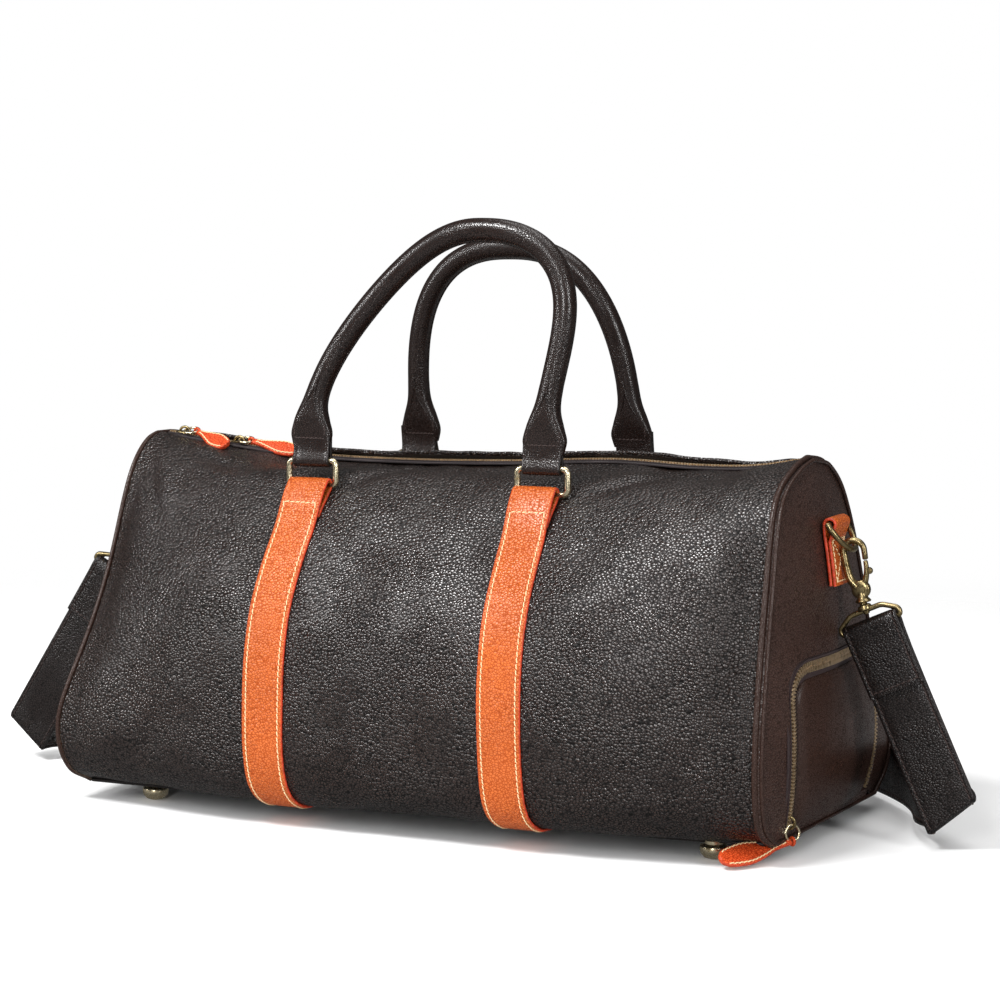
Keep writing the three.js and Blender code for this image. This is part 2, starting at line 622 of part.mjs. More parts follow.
// Snap hook hanging along -Z with the D ring's wire at the origin.
function snapHook() {
  const top = -1;
  const arc = steps(7).map((t) => Math.PI * (1 - t)).map((w) =>
    point(HOOK_R * Math.cos(w), 0, top + HOOK_R * Math.sin(w)));
  const path = [point(-3, 0, -25), point(-HOOK_R, 0, -17), ...arc, point(HOOK_R, 0, -6)];
  const wire = loft(sweep(path, point(0, 1, 0), () => ellipse(HOOK_WIRE, HOOK_WIRE, 6)));
  const collar = new THREE.CylinderGeometry(5, 5, 10, 12).rotateX(Math.PI / 2).translate(0, 0, -28);
  const bore = new THREE.CylinderGeometry(2.3, 2.3, 8, 10).rotateX(Math.PI / 2).translate(0, 0, -31);
  return cut(join(wire, collar), bore);
}

function hookGate() {
  return new THREE.CylinderGeometry(1.4, 1.4, 13, 8).rotateX(Math.PI / 2)
    .rotateY(0.1).translate(HOOK_R - 0.8, 0, -15.2);
}

// Frame below the hook: a stud that turns in the hook's collar and the wire loop that holds the strap.
function swivelFrame() {
  const loop = wireRing(FRAME_W - 2 * WIRE_R, 13, WIRE_R).translate(0, 0, -FRAME_DROP);
  const stud = new THREE.CylinderGeometry(1.9, 1.9, 9, 10).rotateX(Math.PI / 2).translate(0, 0, -33);
  return join(loop, stud);
}

// The strap end: two layers folded round the frame's lower bar, then one layer down to the floor.
function strapDrop() {
  const eye = WIRE_R + EYE_GAP;
  const outer = eye + WEB_T;
  const arc = steps(8).map((t) => Math.PI * (-0.18 + 1.36 * t))
    .map((w) => [outer * Math.cos(w), outer * Math.sin(w)]);
  const tip = FRAME_DROP - DROP_LENGTH;
  const outline = [
    ...arc, [-WEB_T, -38], [-WEB_T / 2, -40], [-WEB_T / 2, tip], [WEB_T / 2, tip], [WEB_T, -38],
  ];
  return slab(outline, WEB_W, { u: 0, v: 0, r: eye }).translate(0, 0, -FRAME_DROP);
}

for (const [name, turn, bulge, tilt] of [
  ["right", 0, RIGHT_BULGE, RIGHT_DROP_TILT],
  ["left", Math.PI, LEFT_BULGE, LEFT_DROP_TILT],
]) {
  const end = new THREE.Group();
  end.rotation.z = turn;
  bag.add(end);
  const tab = add(`${name}_end_tab`, endTab(bulge), ORANGE, end);
  tab.geometry.applyMatrix4(new THREE.Matrix4().makeRotationZ(-Math.PI / 2));
  const ring = new THREE.Group();
  ring.position.set(endFace(D_BAR_Z, bulge) + D_BAR_OFF, 0, D_BAR_Z);
  ring.rotation.y = -D_TILT;
  end.add(ring);
  add(`${name}_d_ring`, dRing(), BRASS, ring);
  const hang = new THREE.Group();
  hang.position.set(ring.position.x + D_RADIUS * Math.sin(D_TILT), 0, D_BAR_Z - D_RADIUS * Math.cos(D_TILT));
  hang.rotation.y = -tilt;
  end.add(hang);
  add(`${name}_snap_hook`, snapHook(), BRASS, hang);
  add(`${name}_hook_gate`, hookGate(), BRASS, hang);
  add(`${name}_swivel_frame`, swivelFrame(), BRASS, hang);
  add(`${name}_strap_drop`, strapDrop(), BROWN, hang);
}

// The slack of the shoulder strap.
function strapBack() {
  const curve = new THREE.CatmullRomCurve3(SLACK_PATH.map((p) => point(...p)), false, "centripetal");
  const straight = 150; // the middle of the slack is straight, so that the adjuster can slide
  return loft(steps(44).map((t) => {
    const p = curve.getPoint(t);
    if (Math.abs(p.x) < straight) p.setY(SLACK_Y);
    const along = curve.getTangent(t);
    const across = along.cross(point(0, 0, 1)).normalize();
    const up = point(0, 0, WEB_W / 2);
    const corner = (a, b) => p.clone().addScaledVector(across, (a * WEB_T) / 2).addScaledVector(up, b);
    return [corner(-1, -1), corner(1, -1), corner(1, 1), corner(-1, 1)];
  }));
}
add("shoulder_strap_back", strapBack(), BROWN);

function adjuster() {
  const flat = ringPath(WEB_W + 5, 9, 3, 2);
  const path = flat.map((p) => point(0, p.y, p.x));
  return loft(sweep(path, point(1, 0, 0), () => ellipse(1.5, 4, 6), true), true);
}
add("strap_adjuster", adjuster(), BRASS).position.set(0, SLACK_Y, SLACK_Z);

// ---------- feet ----------
function foot() {
  const top = BASE_Z - GAP;
  const profile = [[0, 0], [3.5, 0], [7, 1.6], [FOOT.r, 5], [FOOT.r, 8], [6, 9.5], [6, top], [0, top]];
  return new THREE.LatheGeometry(profile.map(([r, z]) => new THREE.Vector2(r, z)), 14).rotateX(Math.PI / 2);
}
for (const [name, sx, sy] of [
  ["front_left", -1, -1], ["front_right", 1, -1], ["rear_left", -1, 1], ["rear_right", 1, 1],
  ["middle", 0, 0],
]) {
  add(`foot_${name}`, foot(), BRASS).position.set(sx * FOOT.x, sy * FOOT.y, 0);
}

export default bag;
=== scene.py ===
import json
import math

import bpy
import numpy as np
from mathutils import Matrix, Vector, noise

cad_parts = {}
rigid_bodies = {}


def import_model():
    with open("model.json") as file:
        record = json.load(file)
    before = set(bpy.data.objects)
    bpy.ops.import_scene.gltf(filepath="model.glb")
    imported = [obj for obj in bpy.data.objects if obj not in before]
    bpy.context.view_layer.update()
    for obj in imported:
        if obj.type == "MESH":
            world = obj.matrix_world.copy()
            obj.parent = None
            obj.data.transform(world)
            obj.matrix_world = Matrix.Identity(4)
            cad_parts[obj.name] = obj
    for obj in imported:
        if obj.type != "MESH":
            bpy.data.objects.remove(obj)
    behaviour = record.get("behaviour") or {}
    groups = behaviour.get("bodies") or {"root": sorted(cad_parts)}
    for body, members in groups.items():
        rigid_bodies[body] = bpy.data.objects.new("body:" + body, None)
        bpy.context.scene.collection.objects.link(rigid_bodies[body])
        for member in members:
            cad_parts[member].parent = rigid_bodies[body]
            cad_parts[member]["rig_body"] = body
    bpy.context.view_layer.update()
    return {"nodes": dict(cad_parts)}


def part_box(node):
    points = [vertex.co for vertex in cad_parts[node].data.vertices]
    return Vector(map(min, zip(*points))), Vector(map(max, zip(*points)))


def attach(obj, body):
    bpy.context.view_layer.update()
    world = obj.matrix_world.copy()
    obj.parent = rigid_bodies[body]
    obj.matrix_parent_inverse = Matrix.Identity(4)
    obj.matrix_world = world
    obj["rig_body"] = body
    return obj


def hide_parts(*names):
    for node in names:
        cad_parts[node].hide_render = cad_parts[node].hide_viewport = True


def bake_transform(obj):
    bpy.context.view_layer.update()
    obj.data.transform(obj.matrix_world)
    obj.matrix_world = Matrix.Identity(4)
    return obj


# Looks of a leather travel duffel bag. Lengths are in millimetres until a mesh is made, in the frame of
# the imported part: +X runs to the shoe-pocket end, -Y is the front, +Z is up and the floor is z = 0.
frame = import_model()

MM = 0.001
UP = np.array([0.0, 0.0, 1.0])
ALONG_BAG = np.array([1.0, 0.0, 0.0])

# Body. An outline is half of a cross-section, from the base edge to the lip, as (distance from the middle,
# height) pairs. Each wall has its own outline between FLAT_X and the middle, and another one at END_X.
END_X = 243
FLAT_X = 105
BASE_Z = 12
LIP_TOP = 246.6
ZIP_Z = 243
LEATHER = 3  # thickness
OUTLINES = {
    "front": [(80, 12), (106, 15.4), (126.5, 31.5), (134, 85), (123, 150), (63, 226), (7.5, LIP_TOP - 5.4)],
    "rear": [(84, 12), (108, 18), (126, 36), (134, 85), (129, 150), (86, 218), (7.5, LIP_TOP + 2)],
    "slim_end": [(74, 12), (97, 26), (105, 62), (89, 165), (70, 224), (38, 239), (7.5, LIP_TOP - 2)],
    "left_end": [(86, 12), (108, 25), (117, 62), (72, 165), (42, 223), (23, 239), (7.5, LIP_TOP - 3)],
    "right_rear": [(100, 12), (119, 28), (125, 64), (101, 160), (57, 221), (25, 239), (7.5, LIP_TOP - 4)],
}
END_SAG = {-1: (15, 46, 56), 1: (15, 42, 60)}  # reach, height and spread of each end's low outward lean
SIGN = {"front": -1, "rear": 1}
HANDS = {"left": -1, "right": 1}
# How far the soft top stands over (or sags under) the straight run of the zip, as (x, height).
TOP_LINE = [
    (-243, 9), (-182, 1.5), (-120, -4.5), (-50, -6), (30, -4.5),
    (111, -1), (168, -3), (205, -2), (243, 4),
]
# Cords round each end, as (distance out along the bag, radius, distance out from the sewn edge).
PIPING = {"right": [(0.6, 1.9, 0.9), (4.7, 1.3, -0.6)], "left": [(2.0, 1.6, -0.4)]}

# Straps, rings and handles
STRAP_TOP_X = 82.8
STRAP_BASE_X = 86.4
RING_X = 84.5
RING_ASIDE = 1.6  # the handles pull all four rings a little towards the shoe-pocket end
STRAP_W = 30
STRAP_T = 2.2
RING_AT = {"front": 0.797, "rear": 0.741}  # how far up the wall's outline the ring's strap is folded
RING_SHIFT = {"front": (-5.0, -7.0), "rear": (3.5, -5.5)}  # (y, z) from the CAD ring to the soft wall
WIRE_R = 1.75
EYE_GAP = 0.8  # clearance of a leather loop round its bar
RING_W = 31
RING_DROP = 16.5
FOLD_LENGTH = 22
STITCH_START = 9
LOOP_STEM = 20
HANDLE_R = 7.7
# A handle is an arch: half its span, its height, how far its crown leans along the bag, how square its left
# and right shoulders are, and how far its crown tips in towards the zip.
HANDLES = {
    "front": {"half": 85.5, "height": 131, "lean": 34, "left": 2.0, "right": 2.5, "tip": 10},
    "rear": {"half": 82.5, "height": 127, "lean": -4, "left": 2.5, "right": 2.5, "tip": 20},
}

# Zips. A pull's tab lies along one direction and faces another.
TOOTH = {"top": {"pitch": 2.1, "size": 1.15}, "shoe": {"pitch": 2.4, "size": 1.3}}
SLIDER_X = {"left": -228, "main": -182}
PULL_R = 5.2
TAB_LENGTH = {"left": 38, "main": 43, "shoe": 57}
TAB_WIDE = {"left": 6.8, "main": 6.6, "shoe": 8.6}
TAB_LIE = {"left": (37, -17, -9), "main": (42, -6, -6), "shoe": (-32, -50, -5)}
TAB_FACE = {"left": (0, -0.62, 0.78), "main": (0, -0.62, 0.78), "shoe": (0.28, -0.6, 0.75)}
ARCH = {"floor": 20, "top": 127, "round": 24}
ARCH_LEGS = {-1: (62, 74), 1: (80, 92)}  # foot and shoulder of the front leg and of the rear leg
ZIP_SLOT = 12.4  # width of the gap between the end panel and the flap, which the zip fills
FLAP_PUFF = 7

# Shoulder strap
WEB_W = 38
WEB_T = 2.8
D_BAR_Z = 207
D_BAR_OFF = 6.2  # from the end panel to the middle of the D ring's bar
D_WIRE_R = 1.9
D_RADIUS = 18
D_LENGTH = 20
D_TILT = math.radians(35)
HOOK_TILT = {"right": math.radians(12), "left": math.radians(20)}
SWIVEL_Z = -38
FRAME_Z = -50  # height of the bar that holds the strap, from where the hook hangs in its D ring
WEB_TILT = {"right": math.radians(24.3), "left": math.radians(33.5)}
WEB_DROP = {"right": 143, "left": 160}
SLACK_Y = 186
SLACK_Z = 23.6
TIP_TURN = math.radians(41)
TAB_FOOT_Z = 168  # lower end of the folded tab that holds the D ring
ENDS = {"right": 1, "left": -1}

# Thread
STITCH_PITCH = 3.9
STITCH_LENGTH = 3.1
STITCH_R = 0.42


# ---------- small mathematics ----------
def ease(t):
    t = np.clip(t, 0, 1)
    return t * t * (3 - 2 * t)


def unit(v):
    return v / np.maximum(np.linalg.norm(v, axis=-1, keepdims=True), 1e-12)


def resample(path, count):
    """The polyline path as count points at even distances."""
    path = np.asarray(path, float)
    far = np.concatenate([[0], np.cumsum(np.linalg.norm(np.diff(path, axis=0), axis=1))])
    at = np.linspace(0, far[-1], count)
    return np.stack([np.interp(at, far, path[:, k]) for k in range(path.shape[1])], -1)


def curve(points, count=600):
    """Even points on the smooth (centripetal Catmull-Rom) curve through the given points."""
    p = np.asarray(points, float)
    p = np.vstack([2 * p[0] - p[1], p, 2 * p[-1] - p[-2]])
    t = np.linspace(0, 1, 40, endpoint=False)[:, None]
    spans = []
    for a, b, c, d in zip(p, p[1:], p[2:], p[3:]):
        d0, d1, d2 = (math.sqrt(np.linalg.norm(v)) for v in (b - a, c - b, d - c))
        leave = (b - a) / d0 * d1 - (c - a) / (d0 + d1) * d1 + c - b
        arrive = c - b - (d - b) / (d1 + d2) * d1 + (d - c) / d2 * d1
        rise = t * t * (3 - 2 * t)
        spans.append(b + (c - b) * rise + leave * (t - 2 * t**2 + t**3) + arrive * (t**3 - t**2))
    spans.append(p[-2:-1])
    return resample(np.vstack(spans), count)


def sample(table, u):
    """Points of an even curve at u from 0 to 1."""
    at = np.clip(u, 0, 1) * (len(table) - 1)
    return np.stack([np.interp(at, np.arange(len(table)), column) for column in table.T], -1)


def noise_at(points, size, seed=0):
    """Smooth noise from -1 to 1 at points, with features about size across."""
    shift = Vector((17.3, 9.1, 5.7)) * seed
    flat = np.asarray(points, float).reshape(-1, 3) / size
    return np.array([noise.noise(Vector(p) + shift) for p in flat]).reshape(np.shape(points)[:-1])


# ---------- shapes ----------
# A part is (points, quads, caps, marks): marks holds one material index for each quad.
def grid_quads(rows, cols, closed_rows=False, closed_cols=False):
    i, j = np.meshgrid(np.arange(rows - 1 + closed_rows), np.arange(cols - 1 + closed_cols), indexing="ij")
    near, far = i * cols, (i + 1) % rows * cols
    after = (j + 1) % cols
    return np.stack([near + j, near + after, far + after, far + j], -1).reshape(-1, 4)


def skin(loops, closed=False, marks=None):
    """A closed surface through equal loops; marks gives a material index for each side of the loop."""
    loops = np.asarray(loops, float)
    rows, cols = loops.shape[:2]
    points = loops.reshape(-1, 3)
    quads = grid_quads(rows, cols, closed, True)
    a, b, c, d = (points[quads[:, k]] - points.mean(0) for k in range(4))
    volume = (np.cross(a, b) * c).sum() + (np.cross(a, c) * d).sum()
    caps = [] if closed else [list(range(cols))[::-1], list(range((rows - 1) * cols, rows * cols))]
    if volume < 0:
        quads = quads[:, ::-1]
        caps = [cap[::-1] for cap in caps]
    sides = np.zeros(cols, int) if marks is None else np.asarray(marks)
    return points, quads, caps, np.tile(sides, len(quads) // cols)


def grid_normals(grid, away):
    """Normals of a grid of points, on the side that away points to."""
    du = np.gradient(grid, axis=0)
    dv = np.gradient(grid, axis=1)
    normal = unit(np.cross(du, dv))
    return normal if (normal * away).sum() > 0 else -normal


def sheet(grid, thickness, away, inner_mark=0):
    """A sheet with round edges whose outer face is the grid; away points roughly outwards."""
    grid = np.asarray(grid, float)
    rows, cols = grid.shape[:2]
    normal = grid_normals(grid, away)
    inner = grid - normal * thickness
    rim = [(0, j) for j in range(cols)] + [(i, cols - 1) for i in range(1, rows)]
    rim += [(rows - 1, j) for j in range(cols - 2, -1, -1)] + [(i, 0) for i in range(rows - 2, 0, -1)]
    rim = np.array(rim)
    inward = np.clip(rim, 1, [rows - 2, cols - 2])
    edge = grid[rim[:, 0], rim[:, 1]]
    out = unit(edge - grid[inward[:, 0], inward[:, 1]])
    middle = edge - normal[rim[:, 0], rim[:, 1]] * thickness / 2 + out * thickness * 0.35
    points = np.vstack([grid.reshape(-1, 3), inner.reshape(-1, 3), middle])
    face = grid_quads(rows, cols)
    du, dv = grid[1, 0] - grid[0, 0], grid[0, 1] - grid[0, 0]
    turn = -1 if np.cross(dv, du) @ normal[0, 0] < 0 else 1
    face = face[:, ::turn]
    size = rows * cols
    ring = rim[:, 0] * cols + rim[:, 1]
    band = 2 * size + np.arange(len(ring))
    bands = []
    for near, far in ((ring, band), (band, ring + size)):
        bands.append(np.stack([np.roll(near, -1), near, far, np.roll(far, -1)], -1)[:, ::turn])
    quads = np.vstack([face, face[:, ::-1] + size, *bands])
    marks = np.zeros(len(quads), int)
    marks[len(face):2 * len(face)] = inner_mark
    return points, quads, [], marks


def placed(part, matrix):
    m = np.array(matrix)
    return part[0] @ m[:3, :3].T + m[:3, 3], *part[1:]


def copies(part, origins, axes):
    """A copy of a part at each origin; axes holds the [along, across, up] directions of each copy."""
    points, quads, caps, marks = part
    count, size = len(origins), len(points)
    moved = origins[:, None] + np.einsum("nj,kjd->knd", points, axes)
    shift = np.arange(count) * size
    all_quads = (quads[None] + shift[:, None, None]).reshape(-1, 4)
    all_caps = [[v + int(s) for v in cap] for s in shift for cap in caps]
    return moved.reshape(-1, 3), all_quads, all_caps, np.tile(marks, count)


def oval(a, b, power=2.0, sides=16):
    """A superellipse, from round (power 2) to nearly rectangular."""
    w = np.arange(sides) * 2 * math.pi / sides
    c, s = np.cos(w), np.sin(w)
    return np.stack([a * np.sign(c) * abs(c) ** (2 / power), b * np.sign(s) * abs(s) ** (2 / power)], -1)


def tube(path, radius, closed=False, sides=12):
    """A round wire along a path; radius may be one number or one for each point."""
    path = np.asarray(path, float)
    if closed:
        tangent = unit(np.roll(path, -1, 0) - np.roll(path, 1, 0))
    else:
        tangent = unit(np.gradient(path, axis=0))
    across = np.cross(tangent[0], UP if abs(tangent[0][2]) < 0.9 else ALONG_BAG)
    radii = np.broadcast_to(radius, len(path))
    circle = oval(1, 1, 2, sides)
    loops = []
    for p, t, r in zip(path, tangent, radii):
        across = unit(across - t * (across @ t))
        loops.append(p + r * (circle[:, :1] * across + circle[:, 1:] * np.cross(t, across)))
    if not closed:
        loops.insert(0, path[0] + (loops[0] - path[0]) * 0.6 - tangent[0] * radii[0] * 0.35)
        loops.append(path[-1] + (loops[-1] - path[-1]) * 0.6 + tangent[-1] * radii[-1] * 0.35)
    return skin(loops, closed)


def lathe(profile, matrix=Matrix(), sides=28):
    """A turned shape from (radius, height) pairs about Z."""
    circle = oval(1, 1, 2, sides)
    loops = [np.column_stack([circle * max(r, 0.05), np.full(sides, z)]) for r, z in profile]
    return placed(skin(loops), matrix)


def corner_loop(width, height, radius, steps=6):
    """A rectangle with round corners, as even [u, v] pairs round the middle."""
    corners = []
    for k, (u, v) in enumerate([(1, 1), (-1, 1), (-1, -1), (1, -1)]):
        w = (k + np.linspace(0, 1, steps)) * math.pi / 2
        middle = [u * (width / 2 - radius), v * (height / 2 - radius)]
        corners.append(middle + radius * np.stack([np.cos(w), np.sin(w)], -1))
    return np.vstack(corners)


class Track:
    """A path in space with a direction across it, sampled by the distance along it.

    A track that is not square keeps its slanted across direction, so that a strap can fold on a slant.
    """

    def __init__(self, points, across, square=True):
        self.square = square
        self.points = np.asarray(points, float)
        self.across = np.broadcast_to(np.asarray(across, float), self.points.shape)
        self.far = np.concatenate([[0], np.cumsum(np.linalg.norm(np.diff(self.points, axis=0), axis=1))])
        self.length = self.far[-1]

    def _read(self, values, s):
        return np.stack([np.interp(s, self.far, values[:, k]) for k in range(3)], -1)

    def at(self, s):
        s = np.asarray(s, float)
        along = unit(self._read(self.points, s + 0.4) - self._read(self.points, s - 0.4))
        hint = self._read(self.across, s)
        across = hint - along * (hint * along).sum(-1, keepdims=True)
        width = np.linalg.norm(across, axis=-1, keepdims=True)
        up = np.cross(along, across / width)
        return self._read(self.points, s), along, (across if self.square else unit(hint)) / width, up

    def spot(self, s, aside, lift):
        """Places beside and above the path, with the upward direction there."""
        p, _, across, up = self.at(s)
        return p + across * np.asarray(aside)[..., None] + up * np.asarray(lift)[..., None], up


def strip_section(width, thickness, inset=3.0):
    """Section of a stitched strap: round edges and a shallow channel along each row of stitches."""
    w, t = width / 2, thickness / 2
    side = [(w, 0.45), (w - 0.5, 0.85), (w - 1.4, 1)]
    channel = [(w - inset + 0.8, 0.98), (w - inset, 0.78), (w - inset - 0.9, 1)]
    half = side + channel + [(w / 2, 1.06), (0, 1.08)]
    top = half + [(-a, h) for a, h in half[-2::-1]]
    loop = top + [(a, -h) for a, h in top[::-1]]
    marks = np.zeros(len(loop), int)
    marks[[0, len(top) - 2, len(top) - 1, len(top), len(loop) - 2, len(loop) - 1]] = 1
    return np.array(loop) * [1, t], marks


def strip(track, width, thickness, pitch=2.2, wobble=0.0):
    """A leather strip along a track, its painted edges marked with material 1."""
    s = np.linspace(0, track.length, max(8, int(track.length / pitch)))
    section, marks = strip_section(width, thickness)
    p, _, across, up = track.at(s)
    waver = 1 + wobble * noise_at(p, 28, 3)
    loops = p[:, None] + section[None, :, :1] * across[:, None] * waver[:, None, None]
    return skin(loops + section[None, :, 1:] * up[:, None], marks=marks)


def stitch():
    """One stitch along X that dips into the leather at both ends."""
    x = np.linspace(-0.5, 0.5, 5)
    path = np.column_stack([x * STITCH_LENGTH, x * 0.5, 0.28 - 1.9 * x**2])
    return tube(path, STITCH_R, sides=6)


def sew(track, lift, *line, pitch=STITCH_PITCH):
    """Stitches on a strip along straight runs through (distance, aside) pairs."""
    found = []
    for (s0, a0), (s1, a1) in zip(line, line[1:]):
        count = max(1, round(math.hypot(s1 - s0, a1 - a0) / pitch))
        t = (np.arange(count) + 0.5) / count
        s, a = s0 + (s1 - s0) * t, a0 + (a1 - a0) * t
        place, up = track.spot(s, a, lift)
        step = 0.5 / max(abs(s1 - s0) + abs(a1 - a0), 1e-6)
        ahead = track.spot(s + (s1 - s0) * step, a + (a1 - a0) * step, lift)[0]
        up = up * (1 if lift >= 0 else -1)
        along = unit(ahead - place)
        across = unit(np.cross(up, along))
        found.append(copies(stitch(), place, np.stack([along, across, up], 1)))
    return found


# ---------- materials ----------
class Shader:
    """A principled material built from procedural nodes; values are numbers, colours or sockets."""

    def __init__(self, name):
        self.material = bpy.data.materials.new(name)
        self.material.use_nodes = True
        self.tree = self.material.node_tree
        self.surface = self.tree.nodes["Principled BSDF"]
        self.place = self.add("ShaderNodeTexCoord").outputs["Object"]

    def add(self, kind, inputs=None, **settings):
        node = self.tree.nodes.new(kind)
        for key, value in settings.items():
            setattr(node, key, value)
        for key, value in (inputs or {}).items():
            self.put(node.inputs[key], value)
        return node

    def put(self, socket, value):
        if isinstance(value, bpy.types.NodeSocket):
            self.tree.links.new(value, socket)
        else:
            socket.default_value = value

    def set(self, **inputs):
        for key, value in inputs.items():
            self.put(self.surface.inputs[key.replace("_", " ")], value)

    def noise(self, size, detail=2.0, place=None):
        inputs = {"Vector": place or self.place, "Scale": 1 / (size * MM), "Detail": detail}
        return self.add("ShaderNodeTexNoise", inputs).outputs["Fac"]

    def cells(self, size, place=None, feature="DISTANCE_TO_EDGE"):
        inputs = {"Vector": place or self.place, "Scale": 1 / (size * MM)}
        return self.add("ShaderNodeTexVoronoi", inputs, feature=feature).outputs["Distance"]

    def bands(self, size, direction, place=None):
        inputs = {"Vector": place or self.place, "Scale": math.pi / 10 / (size * MM)}
        return self.add("ShaderNodeTexWave", inputs, bands_direction=direction).outputs["Fac"]

    def ramp(self, value, low, high, start=0.0, end=1.0):
        inputs = {"Value": value, "From Min": low, "From Max": high, "To Min": start, "To Max": end}
        return self.add("ShaderNodeMapRange", inputs, interpolation_type="SMOOTHSTEP").outputs["Result"]

    def math(self, operation, a, b=0.0):
        node = self.add("ShaderNodeMath", operation=operation)
        self.put(node.inputs[0], a)
        self.put(node.inputs[1], b)
        return node.outputs[0]

    def mix(self, factor, a, b):
        node = self.add("ShaderNodeMix", data_type="RGBA")
        for index, value in ((0, factor), (6, a), (7, b)):
            self.put(node.inputs[index], value)
        return node.outputs[2]

    def warped(self, size, amount):
        """The place coordinates pushed about by noise, so that nothing repeats in straight rows."""
        inputs = {"Vector": self.place, "Scale": 1 / (size * MM), "Detail": 2.0}
        push = self.add("ShaderNodeTexNoise", inputs).outputs["Color"]
        scaled = self.add("ShaderNodeVectorMath", operation="MULTIPLY_ADD")
        self.put(scaled.inputs[0], push)
        scaled.inputs[1].default_value = (amount * MM,) * 3
        self.put(scaled.inputs[2], self.place)
        return scaled.outputs[0]

    def stretched(self, place, scale):
        node = self.add("ShaderNodeVectorMath", {0: place}, operation="MULTIPLY")
        node.inputs[1].default_value = scale
        return node.outputs[0]

    def bump(self, height, depth, strength=1.0, under=None):
        inputs = {"Height": height, "Distance": depth * MM, "Strength": strength}
        if under is not None:
            inputs["Normal"] = under
        return self.add("ShaderNodeBump", inputs).outputs["Normal"]


def rgb(red, green, blue):
    """A colour given in 0-255 screen values."""
    return (*((c / 255) ** 2.2 for c in (red, green, blue)), 1)


def leather(name, colour, painted_crack_shade, grain, depth, rough, patchy=0.5, shine=0.5):
    """Pebbled leather: domed pebbles parted by cracks, the cracks darkened with painted shade and the relief
    deeper in some places than in others.
    """
    s = Shader(name)
    place = s.stretched(s.warped(3 * grain, 0.6 * grain), (1.0, 1.0, 1.3))
    from_middle = s.cells(grain, place, "F1")
    cracks = s.ramp(s.cells(grain, place), 0.0, 0.22)
    domes = s.math("SUBTRACT", 0.6, s.math("MULTIPLY", from_middle, from_middle))
    height = s.math("ADD", domes, s.math("MULTIPLY", cracks, 0.12))
    height = s.math("ADD", height, s.math("MULTIPLY", s.noise(0.5 * grain, 3.0), 0.12))
    height = s.math("MULTIPLY", height, s.ramp(s.noise(38, 2.0), 0.36, 0.64, patchy, 1))
    faded = tuple(min(1, c * 1.35 + 0.002) for c in colour[:3]) + (1,)
    shade = s.mix(s.math("MULTIPLY", s.ramp(s.noise(55, 3.0), 0.3, 0.7), 0.5), colour, faded)
    # Painted shade: the cracks between the pebbles take the second, darker colour, in place of the shade that
    # falls into them.
    shade = s.mix(cracks, painted_crack_shade, shade)
    roughness = s.ramp(s.noise(24, 4.0), 0.3, 0.7, rough - 0.04, rough + 0.06)
    roughness = s.math("ADD", roughness, s.ramp(cracks, 0.0, 1.0, 0.25, 0.0))
    gloss = s.ramp(cracks, 0.0, 1.0, 0.3 * shine, shine)
    relief = s.bump(s.noise(9, 3.0), 0.5, 0.5)
    relief = s.bump(height, depth, 1.0, relief)
    s.set(Base_Color=shade, Roughness=roughness, Normal=relief, Specular_IOR_Level=gloss)
    return s.material


def edge_paint(name, colour):
    """Painted cut edge, slightly uneven."""
    s = Shader(name)
    dark = tuple(c * 0.6 for c in colour[:3]) + (1,)
    s.set(Base_Color=s.mix(s.ramp(s.noise(3, 3.0), 0.35, 0.6), dark, colour))
    s.set(Roughness=s.ramp(s.noise(2), 0.3, 0.7, 0.35, 0.55), Normal=s.bump(s.noise(0.9), 0.12, 0.5))
    return s.material


def metal(name, colour, dark, rough, metallic=1.0):
    """Plated metal with darker tarnish in patches and fine handling marks."""
    s = Shader(name)
    tarnish = s.ramp(s.noise(3.2, 5.0), 0.5, 0.78)
    marks = s.noise(0.35, 3.0)
    s.set(Base_Color=s.mix(tarnish, colour, dark), Metallic=metallic, Normal=s.bump(marks, 0.02, 0.3))
    s.set(Roughness=s.ramp(s.noise(1.6, 4.0), 0.3, 0.7, rough, rough + 0.14))
    return s.material


def weave(name, colour, dark, pitch):
    """Woven tape or lining: two sets of threads that cross."""
    s = Shader(name)
    place = s.warped(5, 0.25)
    over = s.math("MAXIMUM", s.bands(pitch, "DIAGONAL", place), s.bands(pitch, "Z", place))
    fuzz = s.noise(0.4, 4.0)
    shade = s.mix(s.math("MULTIPLY", over, s.ramp(fuzz, 0.2, 0.8, 0.6, 1.0)), dark, colour)
    s.set(Base_Color=shade, Roughness=s.ramp(fuzz, 0.3, 0.7, 0.75, 0.95), Sheen_Weight=0.05)
    s.set(Normal=s.bump(fuzz, 0.05, 0.4, s.bump(over, 0.25, 0.7)))
    return s.material


def thread(name, colour, dark):
    """Waxed twisted thread."""
    s = Shader(name)
    twist = s.bands(0.7, "DIAGONAL", s.warped(2, 0.2))
    s.set(Base_Color=s.mix(s.ramp(twist, 0.0, 0.6), dark, colour), Normal=s.bump(twist, 0.12, 0.6))
    s.set(Roughness=s.ramp(s.noise(1), 0.3, 0.7, 0.5, 0.7))
    return s.material


def board(name):
    """Grey-brown fibre board."""
    s = Shader(name)
    fibres = s.noise(1.2, 6.0)
    s.set(Base_Color=s.mix(fibres, rgb(88, 66, 44), rgb(128, 102, 72)), Normal=s.bump(fibres, 0.2, 0.5))
    s.set(Roughness=s.ramp(fibres, 0.3, 0.7, 0.8, 0.95))
    return s.material
